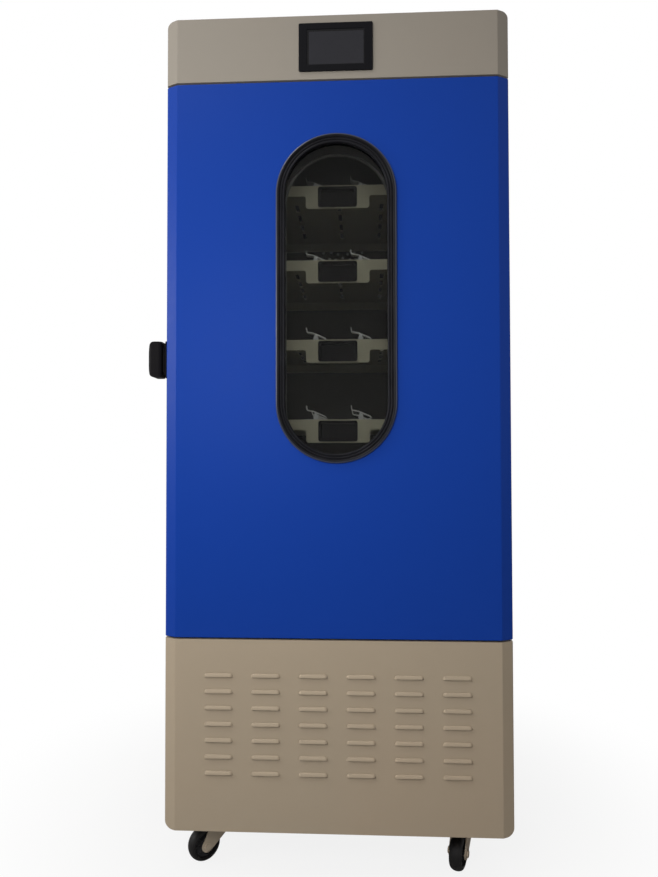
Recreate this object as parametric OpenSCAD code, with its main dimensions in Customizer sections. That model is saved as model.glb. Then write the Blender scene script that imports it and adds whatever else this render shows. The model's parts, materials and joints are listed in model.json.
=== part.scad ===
// Upright constant temperature chamber: glazed door, trays of spring clips, cooling unit below, casters.
// Origin on the floor under the centre of the cabinet. The door faces -Y, +X is to the right, +Z is up.

/* [Cabinet] */
// Overall width of the cabinet
cab_w = 640; // [620:10:760]
// Overall depth from the door's face to the rear edge
cab_d = 620; // [600:10:760]
// Height of the machine compartment, up to the lower seam
base_h = 350; // [330:10:420]
// Height from the lower seam to the upper seam
door_h = 1036; // [1020:4:1120]
// Height of the control head above the upper seam
head_h = 122; // [112:2:180]
// Thickness of the outer sheet metal
sheet_t = 1.5; // [1:0.1:2]
// Width of the seams above and below the door
seam = 3; // [2.6:0.1:5]
// Width of the chamfer on the upright front edges
chamfer_w = 21.5; // [16:0.5:26]
// Depth of the chamfer on the upright front edges
chamfer_d = 10.5; // [6:0.5:14]
// Radius of the outer corners of the front pieces and of the roof's bends
corner_r = 12; // [6:1:20]
// Radius of the base fascia's lower corners
foot_r = 15; // [8:1:20]
// Height of the casters under the cabinet
caster_h = 88; // [84:1:100]

/* [Chamber] */
// Thickness of the insulation beside, and behind the chamber
wall_t = 60; // [50:1:70]
// Thickness of the insulation under the chamber, with its drip tray space
floor_t = 74; // [60:2:90]
// Thickness of the insulation over the chamber
ceiling_t = 50; // [40:2:60]
// Thickness of the liner sheet
liner_t = 1.2; // [0.8:0.1:2]
// Radius of the liner's upright corners
liner_r = 14; // [6:1:20]
// Space behind the insulation for the fan motor
rear_gap = 44; // [40:1:60]
// Depth of the air duct behind the trays
duct_d = 54; // [50:1:70]

/* [Door] */
// Thickness of the door without its seal
door_t = 55; // [50:1:65]
// Depth of the door seal between door and cabinet
seal_d = 10; // [8:0.5:14]
// Width of the door seal
seal_w = 20; // [14:1:24]
// How far the inner door panel reaches into the chamber
plug_d = 17; // [12:0.5:20]
// Width of the window over its rubber gasket
win_w = 224; // [200:2:260]
// Height of the window over its rubber gasket
win_h = 612; // [560:4:680]
// Height of the window's centre above the lower seam
win_z = 628; // [600:4:650]
// Width of the gasket that shows round the glass
gasket_w = 17.3; // [14:0.1:20]
// Thickness of the outer glass
pane_t = 5; // [4:0.5:6]
// Distance of the hinge axis from the cabinet's side
hinge_in = 20; // [18:0.5:26]
// Distance of the hinge axis behind the door's face
hinge_back = 28; // [25:0.5:32]
// Radius of the hinge pins
hinge_pin_r = 5; // [4:0.5:6]

/* [Latch] */
// Height of the latch's centre above the lower seam
latch_z = 518; // [450:2:600]
// Height of the grip
grip_h = 67; // [60:1:90]
// How far the grip stands out from the cabinet's side
grip_out = 35; // [32:0.5:40]
// Depth of the grip from front to back
grip_d = 34; // [30:1:36]
// Radius of the grip's corners, seen from the front
grip_corner = 9; // [6:0.5:12]
// How far the grip's outer side bows
grip_bow = 4; // [2:0.5:6]
// Distance of the latch pivot from the cabinet's side
latch_out = 9; // [8.5:0.5:11]
// Distance of the latch pivot behind the door's face
latch_back = 25; // [22:0.5:28]

/* [Control panel] */
// Width of the touch panel's bezel
hmi_w = 138; // [120:1:180]
// Height of the touch panel's bezel
hmi_h = 91; // [80:1:96]
// Width of the screen glass
screen_w = 106; // [96:1:112]
// Height of the screen glass
screen_h = 66; // [60:1:72]

/* [Louvres] */
// Number of louvre columns
louvre_cols = 6; // [4:1:7]
// Number of louvre rows
louvre_rows = 7; // [5:1:8]
// Spacing of the columns
louvre_dx = 87.2; // [70:0.2:90]
// Spacing of the rows
louvre_dz = 29.6; // [24:0.2:34]
// Width of one louvre
louvre_w = 53; // [44:1:60]
// How far a louvre stands out
louvre_out = 4; // [3:0.5:5]
// Height of the pattern's centre above the cabinet's underside
louvre_z = 191; // [180:1:200]

/* [Trays] */
// Height of the lowest tray above the lower seam
tray_z = 407; // [380:1:420]
// Spacing of the trays
tray_pitch = 157; // [140:1:170]
// Spacing between the two upper trays
top_pitch = 148; // [140:1:170]
// Distance of the tray fronts behind the door's face
tray_back = 81; // [78:1:90]
// Height of the tray's turned-down edges
apron_h = 20.5; // [18:0.5:26]
// Width of the tab that holds the pull
tab_w = 125; // [110:1:150]
// Height of the tab that holds the pull
tab_h = 45.5; // [43:0.5:60]
// Width of the recessed pull
pull_w = 77; // [64:1:90]
// Height of the recessed pull
pull_h = 41; // [34:1:42]
// Depth of the recessed pull
pull_d = 15; // [12:1:20]
// Clearance between a tray and its runners' wall
tray_side = 15; // [10:1:20]

/* [Clips] */
// Spacing of the clips across the tray
clip_dx = 90; // [76:1:100]
// Spacing of the clip rows from front to back
clip_dy = 150; // [100:5:180]
// Distance of the first row behind the tray front
clip_first = 36; // [26:1:60]
// Width of a clip's lever
lever_w = 16; // [12:1:20]
// Radius of the clips' pins
clip_pin_r = 2; // [1.5:0.1:2.5]

/* [Casters] */
// Distance of the casters' swivel axes from the cabinet's sides
caster_side = 84; // [80:2:110]
// Distance of the swivel axes from the cabinet's front and rear
caster_in = 82; // [70:2:110]
// Radius of the caster wheels
wheel_r = 31.5; // [28:0.5:32]
// Width of the caster wheels
wheel_w = 24; // [20:1:28]
// Distance of the wheel axle behind the swivel axis
trail = 29; // [24:1:32]
// Directions in which the casters stand: front left, front right, rear left, rear right
caster_turn = [219, 248, 200, 231];

/* [Air and cooling] */
// Radius of the circulation fan
fan_r = 74; // [60:1:80]
// Height of the circulation fan above the lower seam
fan_z = 800; // [760:10:820]
// Radius of the condenser fan
cfan_r = 88; // [70:1:92]
// Number of fins on each finned coil
fin_count = 26; // [16:1:30]
// Width of the condenser's coil
coil_w = 210; // [190:5:220]
// Height of the condenser's coil
coil_h = 200; // [190:5:205]
// Depth of the condenser's coil
coil_d = 40; // [30:2:44]
// Radius of the compressor's pot
pot_r = 76; // [60:2:80]
// Height of the compressor's pot
pot_h = 174; // [150:2:190]
// Width of the controller's box
box_w = 340; // [260:10:380]
// Depth of the controller's box
box_d = 250; // [200:10:280]
// Height of the controller's box
box_h = 84; // [60:2:90]

/* [Hidden] */
$fn = 64;
fit = 0.05;
gap = 0.3;
w2 = cab_w / 2;
y_front = -cab_d / 2;
y_rear = cab_d / 2;
z_base = caster_h;
caster_x = w2 - caster_side;
z_lo = z_base + base_h;
z_hi = z_lo + door_h;
z_top = z_hi + head_h;
y_back = y_front + door_t;
y_body = y_back + seal_d;
inner_w = w2 - sheet_t - gap;
ins_z0 = z_lo + 6;
ins_z1 = z_hi - 6;
ch_w = w2 - wall_t;
ch_z0 = ins_z0 + floor_t;
ch_z1 = ins_z1 - ceiling_t;
ins_back = y_rear - rear_gap;
ch_back = ins_back - wall_t;
duct_y = ch_back - duct_d;
panel_y = y_rear - 3.5;
door_z0 = z_lo + seam / 2;
door_z1 = z_hi - seam / 2;
win_cz = z_lo + win_z;
win_r = win_w / 2;
win_len = win_h - win_w;
glass_r = win_r - gasket_w;
hinge_x = w2 - hinge_in;
hinge_y = y_front + hinge_back;
latch_x = -w2 - latch_out;
latch_y = y_front + latch_back;
latch_cz = z_lo + latch_z;
hmi_z = z_hi + head_h / 2;
tray_tops = [for (i = [0:3]) z_lo + tray_z + (i < 3 ? i * tray_pitch : 2 * tray_pitch + top_pitch)];
tray_w2 = ch_w - tray_side;
tray_y0 = y_front + tray_back;
tray_y1 = duct_y - 12;
tray_t = 1.5;
clip_cols = [for (i = [0:3]) (i - 1.5) * clip_dx];
clip_rows = [for (j = [0:1]) tray_y0 + clip_first + j * clip_dy];
pivot_h = 12;
fan_cz = z_lo + fan_z;
cfan_x = 150;
cfan_z = z_base + 150;
motor_r = 38;
shroud_d = coil_d / 2 + 42;
shaft_r = 4;
coil_y = y_rear - 140;
comp_y = coil_y - 60;
rail_y = [coil_y - 130, coil_y + 10];
comp_x = -150;
box_x = -40;
inlet_x = box_x - box_w / 2 + 45;
inlet_z = ins_z1 + 43;
louvre_r = 3 * louvre_out;
louvre_h = sqrt(louvre_r * louvre_r - (louvre_r - louvre_out) * (louvre_r - louvre_out));
skin_r = win_r - 7.3;
groove_d = 4;
gasket_back = groove_d + pane_t + 3.2;
view_r = glass_r + 5;
sleeve_r = view_r + 5.5;
plug_w = ch_w - 10;
plug_z0 = ch_z0 + 10;
plug_z1 = ch_z1 - 10;
hinge_block = 24;
hinge_block_w = 13;
latch_pin_r = 3;
latch_plate = 3;
grip_round = 8;
strike_y = y_body + 9;
lip_out = 7;
catch_gap = 0.6;
arm_gap = 1.2;
plate_t = 2.5;
race_h = 7.5;
kingpin_r = 5;

// Box between two corners
module slab(a, b) {
    translate(a)
        cube(b - a);
}

// Outline drawn in X and Z, given a thickness t towards the back from y0
module upright(y0, t) {
    translate([0, y0 + t, 0])
        rotate([90, 0, 0])
            linear_extrude(t)
                children();
}

// Profile drawn in Y and Z, run along X from x0 over a length l
module along_x(x0, l) {
    translate([x0, 0, 0])
        rotate([90, 0, 90])
            linear_extrude(l)
                children();
}

// Cylinder along Y from y0 over a length l
module bar_y(r, y0, l) {
    translate([0, y0 + l, 0])
        rotate([90, 0, 0])
            cylinder(r = r, h = l);
}

// Slot with round ends, l long and h high
module slot2d(l, h) {
    square([l - h, h], center = true);
    for (s = [-1, 1])
        translate([s * (l - h) / 2, 0])
            circle(d = h);
}

// Rectangle with round corners
module round_rect(w, h, r) {
    square([w - 2 * r, h], center = true);
    square([w, h - 2 * r], center = true);
    for (sx = [-1, 1], sy = [-1, 1])
        translate([sx * (w / 2 - r), sy * (h / 2 - r)])
            circle(r);
}

// Upright slot shape of the window, with the half width r
module window2d(r) {
    translate([0, win_cz])
        square([2 * r, win_len], center = true);
    for (s = [-1, 1])
        translate([0, win_cz + s * win_len / 2])
            circle(r);
}

// Profile drawn outwards and forwards, swept round the window's outline
module round_window(y0) {
    for (s = [0, 1])
        translate([0, y0, win_cz + (s == 0 ? 1 : -1) * win_len / 2])
            rotate([90, 0, 0])
                rotate([0, 0, 180 * s])
                    rotate_extrude(angle = 180)
                        children();
    for (s = [0, 1])
        mirror([s, 0, 0])
            translate([0, y0, win_cz - win_len / 2])
                linear_extrude(win_len)
                    mirror([0, 1])
                        children();
}

// Tapered strap between two circles, with straight tangent sides
module strap2d(p, rp, q, rq) {
    d = norm(q - p);
    a = atan2(q[1] - p[1], q[0] - p[0]);
    b = acos((rp - rq) / d);
    u = [for (s = [-1, 1]) [cos(a + s * b), sin(a + s * b)]];
    polygon([p + rp * u[0], q + rq * u[0], q + rq * u[1], p + rp * u[1]]);
    translate(p)
        circle(rp);
    translate(q)
        circle(rq);
}

// Plan of a front piece, taken in by t: its upright front edges are chamfered
module front_plan(t) {
    w = w2 - t;
    y = y_front + t;
    polygon([[-w, y_body], [-w, y + chamfer_d], [-w + chamfer_w, y], [w - chamfer_w, y], [w, y + chamfer_d],
        [w, y_body]]);
}

// Outline of a front piece from z0 to z1 with round corners at its foot or its head
module front_outline(z0, z1, low_r, high_r) {
    translate([-w2, z0 + low_r])
        square([cab_w, z1 - z0 - low_r - high_r]);
    translate([-w2 + low_r + high_r, z0])
        square([cab_w - 2 * (low_r + high_r), z1 - z0]);
    for (s = [-1, 1]) {
        if (low_r > 0)
            translate([s * (w2 - low_r), z0 + low_r])
                circle(low_r);
        if (high_r > 0)
            translate([s * (w2 - high_r), z1 - high_r])
                circle(high_r);
    }
}

// Folded front piece, open at the back
module front_pan(z0, z1, low_r, high_r) {
    difference() {
        intersection() {
            translate([0, 0, z0])
                linear_extrude(z1 - z0)
                    front_plan(0);
            upright(y_front, y_body - y_front)
                front_outline(z0, z1, low_r, high_r);
        }
        intersection() {
            translate([0, 0, z0 + sheet_t])
                linear_extrude(z1 - z0 - 2 * sheet_t)
                    offset_plan();
            upright(y_front, y_body - y_front + 1)
                inner_outline(z0, z1, low_r, high_r);
        }
    }
}

// Plan of the hollow in a front piece, which runs out at the back
module offset_plan() {
    front_plan(sheet_t);
    translate([-w2 + sheet_t, y_body - 1])
        square([cab_w - 2 * sheet_t, 2]);
}

// Outline of the hollow in a front piece
module inner_outline(z0, z1, low_r, high_r) {
    f = max(low_r - sheet_t, 0);
    h = max(high_r - sheet_t, 0);
    w = w2 - sheet_t;
    a = z0 + sheet_t;
    b = z1 - sheet_t;
    translate([-w, a + f])
        square([2 * w, b - a - f - h]);
    translate([-w + f + h, a])
        square([2 * (w - f - h), b - a]);
    for (s = [-1, 1]) {
        if (f > 0)
            translate([s * (w - f), a + f])
                circle(f);
        if (h > 0)
            translate([s * (w - h), b - h])
                circle(h);
    }
}

// Outline of the folded casing, taken in by t: two sides and the roof
module casing_outline(t) {
    r = corner_r - t;
    w = w2 - t;
    translate([-w, z_base - 1])
        square([2 * w, z_top - t - r - z_base + 1]);
    translate([-w + r, z_base - 1])
        square([2 * (w - r), z_top - t - z_base + 1]);
    for (s = [-1, 1])
        translate([s * (w - r), z_top - t - r])
            circle(r);
}

module outer_casing() {
    color("#8f8778") {
        intersection() {
            upright(y_body, y_rear - y_body)
                difference() {
                    casing_outline(0);
                    casing_outline(sheet_t);
                }
            slab([-w2, y_body, z_base], [w2, y_rear, z_top]);
        }
        for (s = [-1, 1])
            translate([s * (w2 - sheet_t - 6), y_rear - sheet_t / 2, (z_base + z_top - corner_r) / 2])
                cube([14, sheet_t, z_top - corner_r - z_base], center = true);
    }
}

module rear_panel() {
    color("#8f8778")
        difference() {
            upright(panel_y, sheet_t) {
                translate([0, (z_base + z_top) / 2])
                    round_rect(2 * inner_w, z_top - z_base - 2 * sheet_t - 2 * gap, corner_r);
                translate([-inner_w, z_base + sheet_t + gap])
                    square([2 * inner_w, 2 * corner_r]);
            }
            for (i = [-1, 1], k = [-5:5])
                translate([cfan_x + i * 46, panel_y + sheet_t / 2, cfan_z + k * 16])
                    rotate([90, 0, 0])
                        linear_extrude(2 * sheet_t, center = true)
                            slot2d(80, 8);
            slab([inlet_x - 25, panel_y - 1, inlet_z - 15], [inlet_x + 25, panel_y + 3, inlet_z + 15]);
        }
}

module control_fascia() {
    color("#96897a")
        difference() {
            front_pan(z_hi + seam / 2, z_top, 0, corner_r);
            upright(y_front - 1, sheet_t + 2)
                translate([0, hmi_z])
                    square([hmi_w - 7, hmi_h - 7], center = true);
        }
}

// Outline of a louvre, w wide: its upper corners are round, its lip at z0 is straight
module louvre_outline(w, z0) {
    intersection() {
        translate([0, louvre_h / 2 - 2.5])
            slot2d(w, louvre_h + 5);
        translate([-w / 2 - 1, z0])
            square([w + 2, louvre_h + 4 - z0]);
    }
}

// Curved back of one louvre, taken in by t, inside its outline
module louvre_bulge(t, z0, depth) {
    intersection() {
        along_x(-louvre_w / 2, louvre_w)
            translate([y_front + louvre_r - louvre_out, 0])
                circle(louvre_r - t);
        upright(y_front - louvre_out - 1, louvre_out + 1 + depth)
            louvre_outline(louvre_w - 2 * t, z0);
    }
}

// Places its children at every louvre of the pattern
module louvre_pattern() {
    for (i = [0:louvre_cols - 1], k = [0:louvre_rows - 1])
        translate([(i - (louvre_cols - 1) / 2) * louvre_dx, 0,
            z_base + louvre_z + (k - (louvre_rows - 1) / 2) * louvre_dz - louvre_h / 2])
            children();
}

module base_fascia() {
    color("#8c8270")
        difference() {
            union() {
                front_pan(z_base, z_lo - seam / 2, foot_r, 0);
                louvre_pattern()
                    louvre_bulge(0, 0, 0.5);
            }
            louvre_pattern()
                louvre_bulge(sheet_t, -1, sheet_t + 1);
        }
}

// Where the casters' swivel axes stand
function caster_at(i) = [(i % 2 == 0 ? -1 : 1) * caster_x, (i < 2 ? y_front + caster_in : y_rear - caster_in), 0];

// Top plate of a caster with its race cup and kingpin
module caster_plate() {
    translate([0, 0, z_base - plate_t / 2])
        cube([60, 50, plate_t], center = true);
    translate([0, 0, z_base - plate_t - race_h])
        cylinder(r = 21, h = race_h + 0.5);
    translate([0, 0, z_base - 17.5])
        cylinder(r = kingpin_r, h = 17);
    translate([0, 0, z_base - 17.5])
        cylinder(r = 8, h = 3);
}

module base_frame() {
    pan_t = 2;
    y0 = y_body + gap;
    y1 = panel_y - gap;
    color("#6f6c66") {
        difference() {
            slab([-inner_w, y0, z_base], [inner_w, y1, z_base + 26]);
            slab([-inner_w + pan_t, y0 + pan_t, z_base + pan_t], [inner_w - pan_t, y1 - pan_t, z_base + 27]);
        }
        for (y = rail_y)
            difference() {
                slab([-inner_w + pan_t, y - 20, z_base + pan_t], [inner_w - pan_t, y + 20, z_base + 24]);
                slab([-inner_w, y - 18, z_base + pan_t], [inner_w, y + 18, z_base + 22]);
            }
        for (i = [0:3])
            translate(caster_at(i))
                caster_plate();
    }
}

// Plan of the chamber with round rear corners, grown by t
module chamber_plan(t) {
    r = liner_r + t;
    w = ch_w + t;
    b = ch_back + t;
    translate([-w, y_body - 1])
        square([2 * w, b - r - y_body + 1]);
    translate([-w + r, y_body - 1])
        square([2 * (w - r), b - y_body + 1]);
    for (s = [-1, 1])
        translate([s * (w - r), b - r])
            circle(r);
}

module insulation() {
    color("#e8dfc8")
        difference() {
            slab([-inner_w, y_body + liner_t, ins_z0], [inner_w, ins_back, ins_z1]);
            translate([0, 0, ch_z0 - liner_t])
                linear_extrude(ch_z1 - ch_z0 + 2 * liner_t)
                    chamber_plan(liner_t);
            translate([0, 0, fan_cz])
                bar_y(14, ch_back - 1, wall_t + 4);
        }
}

module chamber_liner() {
    color("#b9bcbd")
        difference() {
            union() {
                intersection() {
                    translate([0, 0, ch_z0 - liner_t])
                        linear_extrude(ch_z1 - ch_z0 + 2 * liner_t)
                            chamber_plan(liner_t);
                    slab([-w2, y_body, ch_z0 - 5], [w2, ins_back, ch_z1 + 5]);
                }
                slab([-inner_w, y_body, ins_z0], [inner_w, y_body + liner_t, ins_z1]);
            }
            translate([0, 0, ch_z0])
                linear_extrude(ch_z1 - ch_z0)
                    chamber_plan(0);
            translate([0, 0, fan_cz])
                bar_y(14, ch_back - 1, wall_t);
        }
}

module duct_cover() {
    w = ch_w - gap;
    z0 = ch_z0 + 20;
    z1 = ch_z1 - 20;
    color("#aeb2b3")
        difference() {
            slab([-w, duct_y, z0], [w, ch_back - gap, z1]);
            slab([-w + liner_t, duct_y + liner_t, z0 - 1], [w - liner_t, ch_back + 1, z1 + 1]);
            for (s = [-1, 1])
                slab([s * w - 15, ch_back - 16, z0 - 1], [s * w + 15, ch_back + 1, z1 + 1]);
            for (k = [0:5])
                for (a = [0:30:330])
                    translate([0, duct_y, fan_cz])
                        rotate([0, a + (k % 2) * 15, 0])
                            translate([14 + k * 11, 0, 0])
                                bar_y(3.5, -1, liner_t + 2);
            for (s = [-1, 1], k = [0:10])
                translate([s * (w - 60), duct_y - 1, z0 + 60 + k * (z1 - z0 - 120) / 10])
                    rotate([-90, 0, 0])
                        linear_extrude(liner_t + 2)
                            slot2d(70, 9);
        }
}

module fan_motor() {
    y1 = panel_y - 8;
    color("#4b4f52")
        translate([0, 0, fan_cz])
            difference() {
                union() {
                    bar_y(motor_r, ins_back + 3, y1 - ins_back - 3);
                    slab([-50, ins_back, -50], [50, ins_back + 3, 50]);
                    for (a = [0:30:330])
                        rotate([0, a, 0])
                            slab([motor_r - 1, ins_back + 3, -1], [motor_r + 3, y1 - 6, 1]);
                }
                bar_y(shaft_r + fit, ins_back - 1, y1 - ins_back - 7);
            }
}

module circulation_fan() {
    y0 = duct_y + 12;
    depth = duct_d - 22;
    blades = 20;
    color("#9da1a3")
        translate([0, 0, fan_cz]) {
            bar_y(shaft_r, y0 + depth - 14, ins_back + 24 - y0 - depth + 14);
            bar_y(13, y0 + depth - 16, 16);
            bar_y(fan_r, y0 + depth - 1.5, 1.5);
            upright(y0, 2)
                difference() {
                    circle(fan_r);
                    circle(fan_r - 14);
                }
            upright(y0 + 1, depth - 2)
                for (i = [0:blades - 1])
                    rotate(i * 360 / blades)
                        intersection() {
                            translate([fan_r - 12, 16])
                                difference() {
                                    circle(18);
                                    circle(16.6);
                                }
                            difference() {
                                circle(fan_r - 1);
                                circle(fan_r - 20);
                            }
                            translate([0, -fan_r / 2])
                                square([fan_r, fan_r / 2 + 8]);
                        }
        }
}

module heater() {
    y = duct_y + 26;
    r = fan_r + 16;
    color("#7b6a5c")
        translate([0, 0, fan_cz]) {
            translate([0, y, 0])
                rotate([90, 0, 0])
                    rotate_extrude()
                        translate([r, 0])
                            circle(4);
            for (a = [90, 210, 330])
                rotate([0, a, 0]) {
                    translate([r, 0, 0])
                        bar_y(3, y, ch_back - y);
                    slab([r - 9, y - 5.5, -4], [r + 9, y, 4]);
                }
        }
}

// Finned coil: n fins on rows of tubes that are joined by bends; sizes in X, Y and Z
module finned_coil(size, n, rows, tube_r) {
    dz = size[2] / rows;
    for (i = [0:n - 1])
        translate([-size[0] / 2 + i * size[0] / (n - 1), 0, 0])
            cube([1, size[1], size[2]], center = true);
    for (k = [0:rows - 1])
        translate([-size[0] / 2 - 6, 0, -size[2] / 2 + (k + 0.5) * dz])
            rotate([0, 90, 0])
                cylinder(r = tube_r, h = size[0] + 12);
    for (k = [0:rows - 2])
        translate([(k % 2 == 0 ? 1 : -1) * (size[0] / 2 + 6), 0, -size[2] / 2 + (k + 1) * dz])
            rotate([90, 0, 0])
                rotate([0, 0, k % 2 == 0 ? -90 : 90])
                    rotate_extrude(angle = 180)
                        translate([dz / 2, 0])
                            circle(tube_r);
}

module evaporator() {
    h = 110;
    z = ch_z0 + 40 + h / 2;
    d = duct_d - 22;
    y = ch_back - d / 2 - 4;
    w = 2 * ch_w - 110;
    color("#9c9a92") {
        translate([0, y, z])
            finned_coil([w, d, h], fin_count, 4, 4.5);
        for (s = [-1, 1])
            slab([s * (w / 2 - 20) - 8, y + d / 2 - 3, z - h / 2], [s * (w / 2 - 20) + 8, ch_back, z + h / 2]);
    }
}

module compressor() {
    r = pot_r;
    z = z_base + 24;
    seam_z = pot_h / 2 + 3;
    foot_x = r + 10;
    foot_y = r - 6;
    color("#2b2d2f")
        translate([comp_x, comp_y, z]) {
            rotate_extrude()
                polygon(concat([[0, 14]], [for (a = [-90:15:0]) [r - 30 + 30 * cos(a), 44 + 30 * sin(a)]],
                    [[r + 3, seam_z - 2], [r + 3, seam_z + 2], [r, seam_z + 6]],
                    [for (a = [0:15:90]) [r - 42 + 42 * cos(a), pot_h - 42 + 42 * sin(a)]], [[0, pot_h]]));
            difference() {
                slab([-foot_x - 10, -foot_y - 8, 10], [foot_x + 10, foot_y + 8, 15]);
                for (sx = [-1, 1], sy = [-1, 1])
                    translate([sx * foot_x, sy * foot_y, 9])
                        cylinder(r = 4, h = 7);
            }
            for (sx = [-1, 1], sy = [-1, 1])
                translate([sx * foot_x, sy * foot_y, 0])
                    difference() {
                        cylinder(r = 11, h = 10);
                        translate([0, 0, -1])
                            cylinder(r = 4, h = 12);
                    }
            translate([r - 8, 0, 60])
                rotate([0, 90, 0])
                    cylinder(r = 5, h = 28);
            translate([-r - 16, -16, 70])
                cube([30, 32, 44]);
        }
}

module condenser() {
    w = coil_w / 2 - 6;
    h = coil_h / 2 + 4;
    y = coil_d / 2;
    arm = norm([w, h]) + 3;
    color("#a08060")
        translate([cfan_x, coil_y, cfan_z]) {
            finned_coil([coil_w, coil_d, coil_h], fin_count, 6, 4.5);
            for (s = [-1, 1])
                slab([s * (w - 8) - 4, -y, z_base + 24 - cfan_z], [s * (w - 8) + 4, y, -coil_h / 2 + 1]);
            difference() {
                slab([-w - 5, y - 2, -h], [w + 5, shroud_d, h]);
                slab([-w - 3, y, -h + 2], [w + 3, shroud_d - 2, h - 2]);
                slab([-w - 3, y - 10, -h + 2], [w + 3, y + 2, h - 2]);
                bar_y(cfan_r + 4, shroud_d - 12, 20);
            }
            for (s = [-1, 1])
                rotate([0, s * atan2(h, w), 0])
                    slab([-arm, y + 20, -5], [arm, y + 23, 5]);
            bar_y(20, y + 22, 18);
            bar_y(shaft_r, shroud_d - 3, 18);
        }
}

module condenser_fan() {
    y0 = coil_y + shroud_d;
    color("#5a5e60")
        translate([cfan_x, 0, cfan_z]) {
            difference() {
                bar_y(22, y0, 20);
                bar_y(shaft_r + fit, y0 - 1, 18);
            }
            for (i = [0:4])
                rotate([0, i * 72, 0])
                    translate([0, y0 + 10, 0])
                        rotate([28, 0, 0])
                            fan_blade();
        }
}

// Flat blade of the condenser fan, from the hub outwards along X
module fan_blade() {
    linear_extrude(1.6, center = true)
        intersection() {
            strap2d([20, 0], 9, [cfan_r - 22, 0], 16);
            circle(cfan_r - 6);
        }
}

module tray_runners() {
    leg = 20;
    t = 1.5;
    color("#a3a6a7")
        for (z = tray_tops, s = [0, 1])
            mirror([s, 0, 0]) {
                slab([ch_w - t, tray_y0 + 12, z - apron_h - t], [ch_w, tray_y1, z - apron_h + 14]);
                slab([ch_w - leg, tray_y0 + 12, z - apron_h - t], [ch_w, tray_y1, z - apron_h]);
            }
}

// Front of a tray: a strip with a tab below its middle, whose inner corners are filleted
module apron2d() {
    translate([-tray_w2, -apron_h])
        square([2 * tray_w2, apron_h]);
    translate([0, -tab_h / 2])
        round_rect(tab_w, tab_h, 6);
    translate([-tab_w / 2, -tab_h + 6])
        square([tab_w, tab_h - 12]);
    for (s = [0, 1])
        mirror([s, 0])
            difference() {
                translate([tab_w / 2, -apron_h - 5])
                    square([5, 5]);
                translate([tab_w / 2 + 5, -apron_h - 5])
                    circle(5);
            }
}

module tray(i) {
    z = tray_tops[i];
    color("#6f7260")
        difference() {
            union() {
                difference() {
                    slab([-tray_w2, tray_y0, z - apron_h], [tray_w2, tray_y1, z]);
                    slab([-tray_w2 + tray_t, tray_y0 + tray_t, z - apron_h - 1],
                        [tray_w2 - tray_t, tray_y1 - tray_t, z - tray_t]);
                }
                translate([0, 0, z])
                    upright(tray_y0, tray_t)
                        apron2d();
            }
            translate([0, 0, z - tab_h / 2])
                upright(tray_y0 - 1, tray_t + 2)
                    square([pull_w - 7, pull_h - 7], center = true);
            slab([-pull_w / 2 + 3.5, tray_y0 + 0.5, z - tab_h / 2 - pull_h / 2 + 3.5],
                [pull_w / 2 - 3.5, tray_y0 + 2 * tray_t, z - tab_h / 2 + pull_h / 2 - 3.5]);
            for (x = [-2:2], y = [0:3])
                translate([x * clip_dx, (tray_y0 + tray_y1) / 2 + 30 + (y - 1.5) * 62, z - tray_t - 1])
                    rotate([0, 0, 90])
                        linear_extrude(tray_t + 2)
                            slot2d(44, 8);
        }
}

// Recessed pull in each tray's tab
module tray_pulls() {
    t = 1.8;
    color("#1d1d1f")
        for (z = tray_tops)
            translate([0, 0, z - tab_h / 2])
                difference() {
                    union() {
                        upright(tray_y0 - 2, 2)
                            round_rect(pull_w, pull_h, 5);
                        upright(tray_y0 - 1, pull_d)
                            square([pull_w - 7 - 2 * gap, pull_h - 7 - 2 * gap], center = true);
                    }
                    upright(tray_y0 - 3, pull_d + 2 - t)
                        round_rect(pull_w - 7 - 2 * gap - 2 * t, pull_h - 7 - 2 * gap - 2 * t, 4);
                }
}

// Base plate, ears and pin of one clip, with its coiled spring and contact pad
module clip_base() {
    ear_x = lever_w / 2 + 0.6;
    color("#8b8d8c") {
        slab([-22, -lever_w / 2 - 3, 0], [22, lever_w / 2 + 3, 2]);
        for (s = [-1, 1])
            translate([0, s * (ear_x + 0.6) + 0.6, 0])
                rotate([90, 0, 0])
                    linear_extrude(1.2)
                        strap2d([0, 6], 5, [0, pivot_h], 3.4);
        translate([0, 0, pivot_h])
            bar_y(clip_pin_r, -ear_x - 1.8, 2 * ear_x + 3.6);
        translate([17, 0, 1])
            cylinder(r = 3.4, h = 2.8);
    }
}

module clip_bases() {
    for (z = tray_tops, x = clip_cols, y = clip_rows)
        translate([x, y, z])
            clip_base();
}

// Side view of a clip's lever: thumb tab, knee, bend and jaw nose
module lever2d() {
    pts = [[-19.5, 29], [-18, 20.5], [-5, 18.2], [19, 7.6]];
    r = 0.9;
    for (i = [0:len(pts) - 2])
        strap2d(pts[i], r, pts[i + 1], r * 0.999);
    translate([19.6, 6.2])
        circle(1.8);
}

// Lever of one clip with the barrel that turns on its pin
module clip_lever() {
    translate([0, lever_w / 2, 0])
        rotate([90, 0, 0])
            linear_extrude(lever_w)
                difference() {
                    union() {
                        lever2d();
                        translate([0, pivot_h])
                            circle(clip_pin_r + 1.4);
                        translate([-1.1, pivot_h])
                            square([2.2, 4.6]);
                    }
                    translate([0, pivot_h])
                        circle(clip_pin_r + fit);
                }
}

// Levers of one column of clips on tray i, on one axis
module clip_levers(i, k) {
    color("#b4b6b5")
        for (y = clip_rows)
            translate([clip_cols[k], y, tray_tops[i]])
                clip_lever();
}

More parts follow.
